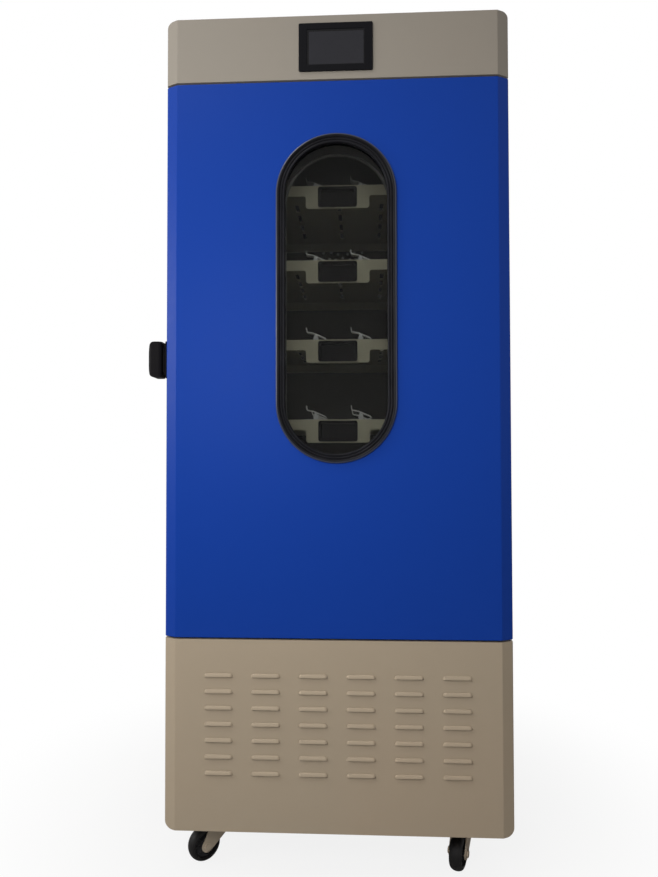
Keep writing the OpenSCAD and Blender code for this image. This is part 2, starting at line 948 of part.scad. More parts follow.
module hinge_brackets() {
    t = seam - 2 * gap;
    tail = y_body + 45;
    color("#a5a7a8")
        for (s = [-1, 1])
            translate([0, 0, s > 0 ? z_hi : z_lo])
                mirror([0, 0, s > 0 ? 0 : 1]) {
                    difference() {
                        union() {
                            slab([hinge_x - hinge_block_w, hinge_y, -t / 2], [w2 - sheet_t, tail, t / 2]);
                            translate([hinge_x, hinge_y, -t / 2])
                                cylinder(r = hinge_block_w, h = t);
                        }
                        slab([w2 - sheet_t - 4, hinge_y - 30, -t], [w2 + 20, y_body + gap, t]);
                    }
                    slab([w2 - sheet_t - 2.5, y_body + 2, -t / 2], [w2 - sheet_t, tail, 20]);
                    translate([hinge_x, hinge_y, -20])
                        cylinder(r = hinge_pin_r, h = 20);
                }
}

module hmi_bezel() {
    color("#232126")
        translate([0, 0, hmi_z])
            difference() {
                union() {
                    upright(y_front - 3, 3)
                        round_rect(hmi_w, hmi_h, 3);
                    upright(y_front - 1, 34)
                        square([hmi_w - 8, hmi_h - 8], center = true);
                }
                upright(y_front - 4, 3.4)
                    square([screen_w + 2 * gap, screen_h + 2 * gap], center = true);
            }
}

module hmi_screen() {
    color("#39373c")
        translate([0, 0, hmi_z])
            upright(y_front - 2.2, 1.6)
                square([screen_w, screen_h], center = true);
}

module controller_box() {
    z0 = ins_z1;
    x0 = box_x - box_w / 2;
    x1 = box_x + box_w / 2;
    y1 = panel_y - 12;
    slots = 8;
    color("#9aa0a2") {
        difference() {
            slab([x0, y1 - box_d, z0], [x1, y1, z0 + box_h]);
            for (x = [x0, x1], k = [0:slots - 1])
                translate([x, y1 - box_d / 2 + (k - (slots - 1) / 2) * (box_d - 40) / slots, z0 + box_h / 2])
                    rotate([0, 90, 0])
                        linear_extrude(6, center = true)
                            slot2d(box_h / 2, 8);
        }
        difference() {
            slab([inlet_x - 24, y1 - 1, inlet_z - 14], [inlet_x + 24, panel_y + sheet_t + 1.5, inlet_z + 14]);
            slab([inlet_x - 16, panel_y - 8, inlet_z - 9], [inlet_x + 16, panel_y + 10, inlet_z + 9]);
        }
    }
}

module door_shell() {
    color("#1f3f9a")
        difference() {
            union() {
                difference() {
                    translate([0, 0, door_z0])
                        linear_extrude(door_z1 - door_z0)
                            intersection() {
                                front_plan(0);
                                translate([-w2, y_front])
                                    square([cab_w, door_t]);
                            }
                    translate([0, 0, door_z0 + sheet_t])
                        linear_extrude(door_z1 - door_z0 - 2 * sheet_t)
                            offset_plan();
                }
                for (z = [door_z0 + sheet_t, door_z1 - sheet_t - hinge_block])
                    slab([hinge_x - hinge_block_w, hinge_y - hinge_block_w, z], [w2 - sheet_t, hinge_y + hinge_block_w, z + hinge_block]);
            }
            upright(y_front - 1, sheet_t + 2)
                window2d(skin_r);
            for (z = [door_z0 - 1, door_z1 - sheet_t - hinge_block + 2])
                translate([hinge_x, hinge_y, z])
                    cylinder(r = hinge_pin_r + fit, h = hinge_block + sheet_t - 1);
        }
}

module door_core() {
    color("#e8dfc8")
        difference() {
            union() {
                translate([0, 0, door_z0 + sheet_t])
                    linear_extrude(door_z1 - door_z0 - 2 * sheet_t)
                        intersection() {
                            front_plan(sheet_t);
                            translate([-w2, y_front])
                                square([cab_w, door_t - liner_t]);
                        }
                slab([-plug_w + liner_t, y_back - 2, plug_z0 + liner_t],
                    [plug_w - liner_t, y_back + plug_d - liner_t, plug_z1 - liner_t]);
            }
            upright(y_front - 1, door_t + plug_d + 2)
                window2d(sleeve_r);
            upright(y_front - 1, gasket_back + gap + 1)
                window2d(win_r);
            for (z = [door_z0, door_z1 - sheet_t - hinge_block])
                slab([hinge_x - hinge_block_w, hinge_y - hinge_block_w, z], [w2, hinge_y + hinge_block_w, z + hinge_block + sheet_t]);
        }
}

module door_liner() {
    color("#b9bcbd")
        difference() {
            union() {
                slab([-w2 + sheet_t, y_back - liner_t, door_z0 + sheet_t],
                    [w2 - sheet_t, y_back, door_z1 - sheet_t]);
                slab([-plug_w, y_back - liner_t, plug_z0], [plug_w, y_back + plug_d, plug_z1]);
                upright(y_front + gasket_back + gap, door_t + plug_d - gasket_back - gap)
                    window2d(sleeve_r);
            }
            difference() {
                slab([-plug_w + liner_t, y_back - 2 * liner_t, plug_z0 + liner_t],
                    [plug_w - liner_t, y_back + plug_d - liner_t, plug_z1 - liner_t]);
                upright(y_front, door_t + plug_d)
                    window2d(sleeve_r);
            }
            upright(y_front, door_t + plug_d - liner_t)
                window2d(sleeve_r - liner_t);
            upright(y_front, door_t + plug_d + 1)
                window2d(view_r);
        }
}

module window_gasket() {
    back = -gasket_back;
    color("#26262a")
        round_window(y_front) {
            difference() {
                union() {
                    translate([glass_r, back])
                        square([6.5, gasket_back + 1.5]);
                    translate([glass_r + 1, 0])
                        square([gasket_w - 1, 2.2]);
                    translate([glass_r + 5, -sheet_t - 3.2])
                        square([8.5, 3]);
                    translate([glass_r + 5, -sheet_t - 1])
                        square([skin_r - glass_r - 5 - gap, sheet_t + 2]);
                    translate([glass_r + 2.4, 1.6])
                        circle(2.4);
                    translate([glass_r + 7.4, 2.2])
                        circle(2);
                    translate([win_r - 3.6, 2.6])
                        circle(3.6);
                }
                translate([glass_r - 1, -groove_d - pane_t - 0.1])
                    square([5.4, pane_t + 0.2]);
                translate([skin_r - gap, -sheet_t - 0.2])
                    square([20, sheet_t + 0.2]);
                translate([win_r - 9, -3])
                    square([20, 3]);
            }
        }
}

module outer_pane() {
    color([0.6, 0.7, 0.72, 0.35])
        upright(y_front + groove_d, pane_t)
            window2d(glass_r + 4.2);
}

module inner_pane() {
    color([0.6, 0.7, 0.72, 0.35])
        upright(y_back + plug_d - liner_t - 4 - 0.1, 4)
            window2d(sleeve_r - liner_t - gap);
}

module door_seal() {
    x1 = ch_w + 32;
    z0 = ch_z0 - 32;
    z1 = ch_z1 + 32;
    color("#3a3a3c")
        difference() {
            slab([-x1, y_back, z0], [x1, y_body - gap, z1]);
            slab([-x1 + seal_w, y_back - 1, z0 + seal_w], [x1 - seal_w, y_body + 1, z1 - seal_w]);
            difference() {
                slab([-x1 - 1, y_back + seal_d * 0.35, z0 - 1], [x1 + 1, y_back + seal_d * 0.65, z1 + 1]);
                slab([-x1 + 5, y_back, z0 + 5], [x1 - 5, y_body, z1 - 5]);
            }
        }
}

module latch_base() {
    color("#1d1d1f")
        translate([0, 0, latch_cz]) {
            upright_side(-w2 - latch_plate, latch_plate)
                translate([latch_y + 5.5, 0])
                    round_rect(37, grip_h + 3, 5);
            for (s = [-1, 1])
                translate([0, 0, s * (grip_h / 2 - 8) - 2.5])
                    linear_extrude(5) {
                        strap2d([-w2 - 6.4, latch_y], 6.4, [latch_x, latch_y], 5.8);
                        translate([-w2 - 6.4, latch_y - 6.4])
                            square([6.4, 12.8]);
                    }
            translate([latch_x, latch_y, -grip_h / 2 + 6])
                cylinder(r = latch_pin_r, h = grip_h - 12);
        }
}

// Outline drawn in Y and Z, given a thickness t along X from x0
module upright_side(x0, t) {
    translate([x0, 0, 0])
        rotate([90, 0, 90])
            linear_extrude(t)
                children();
}

// Grip seen from above: rounded, so that it swings clear of its base
module grip_plan() {
    x0 = -w2 - grip_out;
    translate([(x0 + latch_x) / 2, latch_y])
        round_rect(latch_x - x0, grip_d, grip_round);
}

// Points on an arc about c, from angle a to b
function arc(c, r, a, b, n) = [for (k = [0:n]) c + r * [cos(a + (b - a) * k / n), sin(a + (b - a) * k / n)]];

// Grip seen from the front: its outer side bows between rounded corners
module grip_front() {
    half = grip_h / 2;
    bow_r = half * half / (2 * grip_bow) + grip_bow / 2;
    corner_z = half - grip_corner;
    corner_x = bow_r - sqrt(pow(bow_r - grip_corner, 2) - corner_z * corner_z);
    lean = asin(corner_z / (bow_r - grip_corner));
    bowed = arc([bow_r, 0], bow_r, 180 - lean, 180 + lean, 10);
    translate([-w2 - grip_out, 0])
        polygon(concat(
            arc([corner_x, corner_z], grip_corner, 90, 180 - lean, 8),
            [for (k = [1:9]) bowed[k]],
            arc([corner_x, -corner_z], grip_corner, 180 + lean, 270, 8),
            [[grip_out + 10, -half], [grip_out + 10, half]]));
}

// Grip on its pin, with a tongue and, screwed to the tongue, the catch block
module latch_lever() {
    lug = grip_h / 2 - 8 - 2.5 - gap;
    tip_y = strike_y + 4 + catch_gap;
    arm_x = -w2 - lip_out - (strike_y + 4 - latch_y) * sin(4) - arm_gap;
    color("#1a1a1c")
        translate([0, 0, latch_cz]) {
            slab([arm_x + fit, tip_y, -12], [-w2 - lip_out - gap, tip_y + 6, 12]);
            difference() {
                union() {
                    difference() {
                        intersection() {
                            translate([0, 0, -grip_h])
                                linear_extrude(2 * grip_h)
                                    grip_plan();
                            upright(latch_y - grip_d, 2 * grip_d)
                                grip_front();
                        }
                        translate([latch_x, latch_y, -grip_h / 2 + 5])
                            cylinder(r = 9.5, h = grip_h - 10);
                    }
                    translate([latch_x, latch_y, -lug])
                        cylinder(r = latch_out - latch_plate - gap, h = 2 * lug);
                    slab([latch_x - 12, latch_y - 4, -lug], [latch_x - 2, latch_y + 4, lug]);
                    slab([arm_x - 3.5, latch_y + 4, -12], [arm_x, tip_y + 6, 12]);
                }
                translate([latch_x, latch_y, -lug - 1])
                    cylinder(r = latch_pin_r + fit, h = 2 * lug + 2);
            }
        }
}

// Plate with the lip that holds the catch block, screwed on from the front
module striker() {
    color("#a5a7a8")
        translate([0, 0, latch_cz]) {
            slab([-w2 - 2.5, y_body + 4, -17], [-w2, y_body + 36, 17]);
            slab([-w2 - lip_out, strike_y, -17], [-w2 - 2.5 - fit, strike_y + 4, 17]);
        }
}

// Turns a caster's piece, drawn with its wheel towards +X, to where it stands
module at_caster(i) {
    translate(caster_at(i))
        rotate([0, 0, caster_turn[i]])
            children();
}

// Pressed fork of a caster: domed crown, tapered legs and the axle bolt
module caster_fork(i) {
    crown_z = z_base - plate_t - race_h - gap;
    leg_t = 2.6;
    leg_y = wheel_w / 2 + 1.6;
    color("#8d8577")
        at_caster(i) {
            translate([0, 0, crown_z])
                rotate_extrude()
                    polygon([[kingpin_r + fit, 0], [18, 0], [25, -3.5], [28, -9], [28, -13], [25.5, -13], [25.5, -9],
                        [23.5, -5.2], [17, -2.6], [kingpin_r + fit, -2.6]]);
            for (s = [-1, 1])
                translate([0, s * (leg_y + leg_t / 2) + leg_t / 2, 0])
                    rotate([90, 0, 0])
                        linear_extrude(leg_t)
                            intersection() {
                                union() {
                                    strap2d([3, crown_z - 16], 19, [trail, wheel_r], 11);
                                    translate([-16, crown_z - 14])
                                        square([32, 12]);
                                }
                                translate([-60, wheel_r - 12])
                                    square([120, crown_z - 1.4 - wheel_r + 12]);
                            }
            translate([trail, 0, wheel_r]) {
                bar_y(4, -leg_y - leg_t - 3, 2 * (leg_y + leg_t + 3));
                for (s = [-1, 1])
                    translate([0, s * (leg_y + leg_t + 1.5), 0])
                        rotate([90, 0, 0])
                            cylinder(r = 6.5, h = 3.6, center = true, $fn = 6);
            }
        }
}

// Caster wheel: tread with rounded shoulders, recessed web and hub
module caster_wheel(i) {
    h = wheel_w / 2;
    color("#232325")
        at_caster(i)
            translate([trail, 0, wheel_r])
                rotate([90, 0, 0])
                    rotate_extrude()
                        polygon(concat([[4 + fit, -h - 1], [9, -h - 1], [9, -h + 5], [wheel_r - 10, -h + 5],
                            [wheel_r - 8, -h], [wheel_r - 5, -h]],
                            [for (a = [-75:15:75]) [wheel_r - 5 + 5 * cos(a), (a < 0 ? -1 : 1) * (h - 5)
                                + 5 * sin(a)]],
                            [[wheel_r - 5, h], [wheel_r - 8, h], [wheel_r - 10, h - 5], [9, h - 5], [9, h + 1],
                            [4 + fit, h + 1]]));
}

outer_casing();
rear_panel();
control_fascia();
base_fascia();
base_frame();
insulation();
chamber_liner();
duct_cover();
fan_motor();
heater();
evaporator();
compressor();
condenser();
tray_runners();
hinge_brackets();
hmi_bezel();
hmi_screen();
controller_box();
striker();
tray(0);  // tray_1
tray(1);  // tray_2
tray(2);  // tray_3
tray(3);  // tray_4
tray_pulls();
clip_bases();
door_shell();
door_core();
door_liner();
window_gasket();
outer_pane();
inner_pane();
door_seal();
latch_base();
latch_lever();
circulation_fan();
condenser_fan();
caster_fork(0);  // caster_fork_front_left
caster_fork(1);  // caster_fork_front_right
caster_fork(2);  // caster_fork_rear_left
caster_fork(3);  // caster_fork_rear_right
caster_wheel(0);  // caster_wheel_front_left
caster_wheel(1);  // caster_wheel_front_right
caster_wheel(2);  // caster_wheel_rear_left
caster_wheel(3);  // caster_wheel_rear_right
clip_levers(0, 0);  // clip_levers_1a
clip_levers(0, 1);  // clip_levers_1b
clip_levers(0, 2);  // clip_levers_1c
clip_levers(0, 3);  // clip_levers_1d
clip_levers(1, 0);  // clip_levers_2a
clip_levers(1, 1);  // clip_levers_2b
clip_levers(1, 2);  // clip_levers_2c
clip_levers(1, 3);  // clip_levers_2d
clip_levers(2, 0);  // clip_levers_3a
clip_levers(2, 1);  // clip_levers_3b
clip_levers(2, 2);  // clip_levers_3c
clip_levers(2, 3);  // clip_levers_3d
clip_levers(3, 0);  // clip_levers_4a
clip_levers(3, 1);  // clip_levers_4b
clip_levers(3, 2);  // clip_levers_4c
clip_levers(3, 3);  // clip_levers_4d
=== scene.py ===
"""Constant temperature chamber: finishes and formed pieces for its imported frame."""
import json
import math
from types import SimpleNamespace

import bmesh
import bpy
from bpy.props import FloatProperty, FloatVectorProperty, IntProperty, PointerProperty
from mathutils import Matrix, Vector


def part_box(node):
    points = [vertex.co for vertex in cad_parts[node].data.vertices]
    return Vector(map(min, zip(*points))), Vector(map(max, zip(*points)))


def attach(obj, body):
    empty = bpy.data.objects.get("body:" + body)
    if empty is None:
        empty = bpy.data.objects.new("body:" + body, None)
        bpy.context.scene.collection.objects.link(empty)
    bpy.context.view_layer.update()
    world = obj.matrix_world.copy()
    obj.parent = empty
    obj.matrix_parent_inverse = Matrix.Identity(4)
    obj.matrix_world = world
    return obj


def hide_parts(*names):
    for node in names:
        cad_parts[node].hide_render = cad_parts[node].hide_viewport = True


bl_info = {
    "name": "Constant Temperature Chamber",
    "version": (1, 0, 0),
    "blender": (4, 5, 0),
    "location": "View3D > Sidebar > Chamber",
    "description": "Dresses the chamber's frame with formed sheet, rubber, glass and fittings",
    "category": "Object",
}

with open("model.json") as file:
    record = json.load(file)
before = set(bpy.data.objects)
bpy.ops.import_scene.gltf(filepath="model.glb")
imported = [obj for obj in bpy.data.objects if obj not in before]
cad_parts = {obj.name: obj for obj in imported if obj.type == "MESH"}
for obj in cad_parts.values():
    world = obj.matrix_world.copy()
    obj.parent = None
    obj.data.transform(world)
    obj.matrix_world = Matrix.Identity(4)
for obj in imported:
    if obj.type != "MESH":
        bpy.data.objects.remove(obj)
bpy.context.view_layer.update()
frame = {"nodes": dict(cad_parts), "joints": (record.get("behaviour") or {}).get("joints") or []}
MM = 0.001

# Lowest and highest corner of a node of the frame
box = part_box

# The front plane lies a little behind the touch screen's glass
SCREEN_PROUD = 2.2 * MM
FRONT = box("hmi_screen")[0].y + SCREEN_PROUD

# Open seam between the door and what is under it
SEAM = 1.5 * MM


def paint(r, g, b):
    """Colour of a finish, given as it looks on a screen from 0 to 255, as the shader wants it."""
    def one(v):
        v /= 255
        return v / 12.92 if v <= 0.04045 else ((v + 0.055) / 1.055) ** 2.4
    return (one(r), one(g), one(b))


def scaled(tone, gain, lift=0.0):
    """Colour made lighter or darker as a whole."""
    return tuple(min(1.0, c * gain + lift) for c in tone)


# Sizes and colours

def length(name, description, default, low=0.0001, high=2.0):
    """A length in metres that a user can change."""
    return FloatProperty(name=name, description=description, default=default, min=low, max=high,
                         unit="LENGTH", subtype="DISTANCE", precision=4)


def colour(name, description, default):
    """A colour that a user can change."""
    return FloatVectorProperty(name=name, description=description, default=default, size=3, min=0.0, max=1.0,
                               subtype="COLOR")


class ChamberSizes(bpy.types.PropertyGroup):
    """Sizes of the formed pieces."""
    sheet: length("Sheet gauge", "Thickness of the folded front sheets", 1.5 * MM)
    edge: length("Edge radius", "Radius that paint and pressing leave on a sheet's edges", 0.6 * MM)
    fold: length("Fold radius", "Outer radius of the folds along a front's upper and lower edge", 1.8 * MM)
    foot: length("Foot radius", "Radius of the base fascia's lower corners", 15 * MM)
    head: length("Head radius", "Radius of the control fascia's upper corners", 12 * MM)
    chamfer_w: length("Chamfer width", "Width of the chamfer on the upright front edges", 21.5 * MM)
    chamfer_d: length("Chamfer depth", "Depth of the chamfer on the upright front edges", 10.5 * MM)
    bend: length("Bend radius", "Outer radius of the folds beside the chamfers", 4 * MM)
    louvre_w: length("Louvre width", "Width of one pressed louvre", 53 * MM)
    louvre_h: length("Louvre height", "Height of one louvre above its lip", 6.6 * MM)
    louvre_out: length("Louvre stand-out", "How far a louvre's lip stands out", 3.6 * MM)
    louvre_dx: length("Louvre spacing across", "From one column of louvres to the next", 87.2 * MM)
    louvre_dz: length("Louvre spacing up", "From one row of louvres to the next", 29.6 * MM)
    louvre_z: length("Louvre field height", "Middle of the louvres above the cabinet's underside", 195.5 * MM)
    window_w: length("Window width", "Width over the window's rubber", 224 * MM)
    window_h: length("Window height", "Height over the window's rubber", 612 * MM)
    window_z: length("Window place", "Middle of the window above the door's foot", 628 * MM)
    rubber: length("Rubber width", "Width of the window rubber seen from the front", 17.3 * MM)
    louvre_cols: IntProperty(name="Louvre columns", description="Louvres side by side",
                             default=6, min=1, max=8)
    louvre_rows: IntProperty(name="Louvre rows", description="Louvres above each other",
                             default=7, min=1, max=9)


class ChamberColours(bpy.types.PropertyGroup):
    """Colours of the finishes."""
    door: colour("Door", "Powder coat of the door", (0.0045, 0.040, 0.290))
    # Lighter than the control fascia and the casing, though one beige paint: painted light for the low front,
    # which gets less light
    fascia: colour("Base fascia", "Powder coat of the base fascia", paint(165, 151, 132))
    head: colour("Control fascia", "Powder coat of the control fascia", paint(143, 137, 128))
    casing: colour("Casing", "Powder coat of the sides, roof and back", paint(145, 135, 120))
    # The trays' default is the cabinet's beige made much lighter: painted light for the dim inside of the
    # chamber
    tray: colour("Trays", "Powder coat of the trays", paint(204, 199, 175))
    steel: colour("Stainless steel", "Brushed steel of the chamber's lining", (0.30, 0.30, 0.29))
    zinc: colour("Zinc plate", "Plated steel of brackets, clips and screws", (0.56, 0.57, 0.56))
    rubber: colour("Rubber", "Seals and gasket", paint(22, 22, 26))
    plastic: colour("Black plastic", "Handle, pulls and bezel", paint(20, 19, 21))


# Shader maths

class Wire:
    """One output of a material's nodes, on which sums are written as on a number."""

    def __init__(self, shade, socket):
        self.shade = shade
        self.socket = socket

    def sum(self, operation, a, b):
        """A Math node, or a Vector Math node where a or b is a vector."""
        several = any(isinstance(v, (tuple, Vector)) or getattr(v, "is_vector", False) for v in (a, b))
        kind = "ShaderNodeVectorMath" if several else "ShaderNodeMath"
        return self.shade.make(kind, {"operation": operation}, {0: a, 1: b})

    @property
    def is_vector(self):
        """Whether it carries three numbers."""
        return self.socket.type == "VECTOR"

    def __abs__(self):
        return self.sum("ABSOLUTE", self, 0.0)

    def most(self, other):
        """The larger of two."""
        return self.sum("MAXIMUM", self, other)

    def wave(self):
        """Its sine."""
        return self.sum("SINE", self, 0.0)

    def rise(self, low, high, a=0.0, b=1.0):
        """Smooth step from a, where this is low, to b, where it is high."""
        settings = {"interpolation_type": "SMOOTHSTEP", "clamp": True}
        return self.shade.make("ShaderNodeMapRange", settings, {0: self, 1: low, 2: high, 3: a, 4: b})


for word, operation in (("add", "ADD"), ("sub", "SUBTRACT"), ("mul", "MULTIPLY"), ("truediv", "DIVIDE"),
                        ("pow", "POWER")):
    setattr(Wire, f"__{word}__", lambda self, other, how=operation: self.sum(how, self, other))
    setattr(Wire, f"__r{word}__", lambda self, other, how=operation: self.sum(how, other, self))


class Shade:
    """The nodes of a material or of the room's light, and the calls that make them."""

    def __init__(self, name, library=None):
        self.owner = (bpy.data.materials if library is None else library).new(name)
        self.owner.use_nodes = True
        self.tree = self.owner.node_tree
        self.tree.nodes.clear()
        self.kept = {}

    def feed(self, socket, value):
        """Leads a wire to a socket, or sets the socket's value."""
        if isinstance(value, Wire):
            self.tree.links.new(value.socket, socket)
        elif socket.type == "RGBA":
            socket.default_value = (*value, 1.0) if len(value) == 3 else value
        elif socket.type == "VECTOR" and not hasattr(value, "__len__"):
            socket.default_value = (value, value, value)
        else:
            socket.default_value = value

    def make(self, kind, settings=None, inputs=None, output=0):
        """A node with its settings, and the values or wires of its sockets."""
        node = self.tree.nodes.new(kind)
        for name, value in (settings or {}).items():
            setattr(node, name, value)
        for name, value in (inputs or {}).items():
            self.feed(node.inputs[name], value)
        return Wire(self, node.outputs[output])

    def once(self, key, kind, **given):
        """A node that is made when it is first asked for."""
        if key not in self.kept:
            self.kept[key] = self.make(kind, **given)
        return self.kept[key]

    def ray(self, kind):
        """1 for rays of a kind, such as Camera or Glossy, else 0."""
        node = self.once("path", "ShaderNodeLightPath").socket.node
        return Wire(self, node.outputs[f"Is {kind} Ray"])

    @property
    def place(self):
        """Where a point of the piece is, in metres in the frame."""
        return self.once("place", "ShaderNodeTexCoord", output="Object")

    def axis(self, letter):
        """The place along one axis."""
        node = self.once("split", "ShaderNodeSeparateXYZ", inputs={0: self.place}).socket.node
        return Wire(self, node.outputs["XYZ".index(letter)])

    def noise(self, size, detail=3.0, stretch=(1.0, 1.0, 1.0), rough=0.5):
        """Even noise with grains of a size in metres, stretched along the axes."""
        where = self.place if stretch == (1.0, 1.0, 1.0) else self.place / stretch
        return self.make("ShaderNodeTexNoise", {}, {"Vector": where, "Scale": 1 / size, "Detail": detail,
                                                    "Roughness": rough})

    def cells(self, size):
        """Distance to the nearest point of an uneven lattice with a spacing in metres."""
        return self.make("ShaderNodeTexVoronoi", {}, {"Vector": self.place, "Scale": 1 / size})

    def mix(self, a, b, share, how="MIX"):
        """Colour a turned to b by a share; 6, 7 and 2 are the node's colour sockets."""
        settings = {"data_type": "RGBA", "blend_type": how}
        return self.make("ShaderNodeMix", settings, {0: share, 6: a, 7: b}, output=2)

    def tint(self, tone, by):
        """Colour made lighter or darker, by 1 for no change."""
        grey = self.make("ShaderNodeCombineColor", {}, {0: by, 1: by, 2: by})
        return self.mix(tone, grey, 1.0, "MULTIPLY")

    def soft_edge(self, radius):
        """Normal with the sharp edges rounded by a radius."""
        return self.make("ShaderNodeBevel", {"samples": 4}, {0: radius})

    def edges(self, rounded):
        """Where a rounded normal leaves the face, from 0 to 1."""
        normal = self.once("normal", "ShaderNodeNewGeometry", output="Normal")
        along = self.make("ShaderNodeVectorMath", {"operation": "DOT_PRODUCT"}, {0: rounded, 1: normal},
                          output="Value")
        return (1.0 - along).rise(0.01, 0.25)

    def relief(self, height, depth, strength=1.0, normal=None):
        """Normal of a surface that a height raises by a depth in metres."""
        inputs = {"Height": height, "Distance": depth, "Strength": strength}
        if normal is not None:
            inputs["Normal"] = normal
        return self.make("ShaderNodeBump", {}, inputs)

    def end(self, shader, kind="Material"):
        """Leads a shader to the output, and gives back the material or the room's light."""
        out = self.tree.nodes.new("ShaderNodeOutput" + kind)
        self.tree.links.new(shader.socket, out.inputs["Surface"])
        return self.owner

    def surface(self, values):
        """The finished material from the shader's sockets."""
        return self.end(self.make("ShaderNodeBsdfPrincipled", {}, values))


# Finishes

FINISHES = {}
DUST = paint(168, 160, 146)
DUST_HEIGHT = 0.22
WARM_SHIFT = (1.07, 0.99, 0.95)
SCRATCH_STRETCH = 60.0
# Lighter, bluish colour of the rubber's outer lip: a painted highlight
LIP_PAINTED_HIGHLIGHT = paint(58, 63, 82)


def finish(name):
    """The named finish, made when it is first asked for."""
    if name not in FINISHES:
        FINISHES[name] = MAKERS[name](name)
    return FINISHES[name]


def powder_coat(name, tone, gloss=0.42, wear=0.35, radius=0.9 * MM, peel=1.0):
    """Baked powder coat: orange peel, slow tone change, dust low down, and edges rubbed a little."""
    s = Shade(name)
    slow = s.noise(0.45, 2.0)
    mottle = s.noise(0.02, 4.0)
    fine = s.noise(2.2 * MM, 2.0)
    rubbed = s.noise(9 * MM, 5.0, rough=0.65)
    rounded = s.soft_edge(radius)
    edge = s.edges(rounded) * rubbed.rise(0.42, 0.62) * wear
    base = s.tint(tone, 0.955 + slow * 0.06 + mottle * 0.03)
    warmer = tuple(min(1.0, c * k) for c, k in zip(tone, WARM_SHIFT))
    warm = s.mix(base, warmer, slow.rise(0.45, 0.75, 0.0, 0.35))
    low = (DUST_HEIGHT - s.axis("Z")).rise(0.0, DUST_HEIGHT) * s.noise(0.05, 5.0).rise(0.35, 0.75) * 0.14
    dusty = s.mix(warm, DUST, low)
    worn = s.mix(dusty, scaled(tone, 1.5, 0.02), edge)
    rough = gloss + mottle * 0.10 - 0.05 + low * 0.8 + fine * 0.05
    bump = s.relief(fine * peel + mottle * 0.35, 0.045 * MM, 0.55, rounded)
    return s.surface({"Base Color": worn, "Roughness": rough, "Normal": bump, "Specular IOR Level": 0.14})


def brushed(name, tone, along, rough):
    """Brushed sheet steel: long fine scratches along an axis, smears and a few handling marks."""
    s = Shade(name)
    scratch = s.noise(0.9 * MM, 4.0, tuple(SCRATCH_STRETCH if a == along else 1.0 for a in "XYZ"), 0.7)
    smear = s.noise(0.12, 3.0)
    marks = s.noise(7 * MM, 6.0, rough=0.7).rise(0.62, 0.75)
    rounded = s.soft_edge(0.6 * MM)
    base = s.tint(tone, 0.86 + scratch * 0.16 + smear * 0.12 - marks * 0.05)
    return s.surface({"Base Color": base, "Metallic": 1.0, "Roughness": rough + scratch * 0.12 + smear * 0.1,
                      "Normal": s.relief(scratch, 0.012 * MM, 0.5, rounded)})


def plated(name, tone, rough=0.34, stain=0.3):
    """Zinc plated or cast metal: fine crystal mottling, dull spots and lighter edges."""
    s = Shade(name)
    crystal = s.cells(2.4 * MM)
    cloud = s.noise(18 * MM, 4.0)
    rounded = s.soft_edge(0.5 * MM)
    edge = s.edges(rounded)
    base = s.tint(tone, 0.82 + crystal * 0.12 + cloud * 0.18 + edge * 0.15)
    dull = s.mix(base, scaled(tone, 0.45), cloud.rise(0.55, 0.8) * stain)
    return s.surface({"Base Color": dull, "Metallic": 0.95, "Roughness": rough + cloud * 0.18 - edge * 0.06,
                      "Normal": s.relief(crystal + cloud, 0.02 * MM, 0.4, rounded)})


def moulded(name, tone, rough=0.5, grain=0.5 * MM, ribs=None):
    """Moulded plastic: spark-eroded grain, faint flow lines and edges rubbed glossy by hands."""
    s = Shade(name)
    flow = s.noise(0.03, 3.0, (1.0, 1.0, 3.0))
    rounded = s.soft_edge(0.8 * MM)
    edge = s.edges(rounded)
    base = s.tint(tone, 0.9 + flow * 0.2 + edge * 0.35)
    height = s.cells(grain) + s.noise(grain * 3, 3.0) * 0.6
    if ribs:
        height = height + (s.axis("Y") * (math.tau / ribs)).wave() * 2.5
    return s.surface({"Base Color": base, "Roughness": rough + flow * 0.08 - edge * 0.12,
                      "Normal": s.relief(height, 0.012 * MM, 0.6, rounded), "Specular IOR Level": 0.06})


def rubber(name, tone, rough=0.6, depth=0.04 * MM, strength=0.5, gloss_and_painted_highlight=None):
    """Extruded rubber: bloom in patches, fine pores, and a part rubbed glossy by hands and cloths, with a
    painted highlight in its colour.
    """
    s = Shade(name)
    pores = s.noise(0.6 * MM, 4.0, rough=0.7)
    bloom = s.noise(0.04, 4.0).rise(0.4, 0.75)
    base = s.mix(tone, scaled(tone, 2.0, 0.003), bloom * 0.45)
    values = {"Roughness": rough + bloom * 0.14, "Normal": s.relief(pores, depth, strength),
              "Specular IOR Level": 0.1}
    if gloss_and_painted_highlight:
        # On the lip: a real gloss coat, and the colour lightened towards a painted highlight
        lip_gloss_and_highlight = gloss_and_painted_highlight(s)
        base = s.mix(base, LIP_PAINTED_HIGHLIGHT, lip_gloss_and_highlight * 0.8)
        values.update({"Coat Weight": lip_gloss_and_highlight * 0.5, "Coat Roughness": 0.16})
    return s.surface({"Base Color": s.tint(base, 0.88 + pores * 0.24), **values})


def window_lip(s):
    """1 on the outer lip of the window's rubber, which is glossy and carries a painted highlight, and 0 on
    its matt ribs.
    """
    z = sizes()
    over = (abs(s.axis("Z") - window_middle()) - (z.window_h - z.window_w) / 2).most(0.0)
    x = s.axis("X")
    rim = z.window_w / 2
    return ((x * x + over * over) ** 0.5).rise(rim - 3.6 * MM, rim - 2.4 * MM)


def glass(name, tone, ior):
    """Toughened glass with a faint film of dust and wiping marks."""
    s = Shade(name)
    wiped = s.noise(0.09, 3.0, (1.0, 1.0, 0.35)).rise(0.45, 0.8)
    return s.surface({"Base Color": s.tint(tone, 1.0 - wiped * 0.03), "Roughness": 0.01 + wiped * 0.03,
                      "Transmission Weight": 1.0, "IOR": ior})


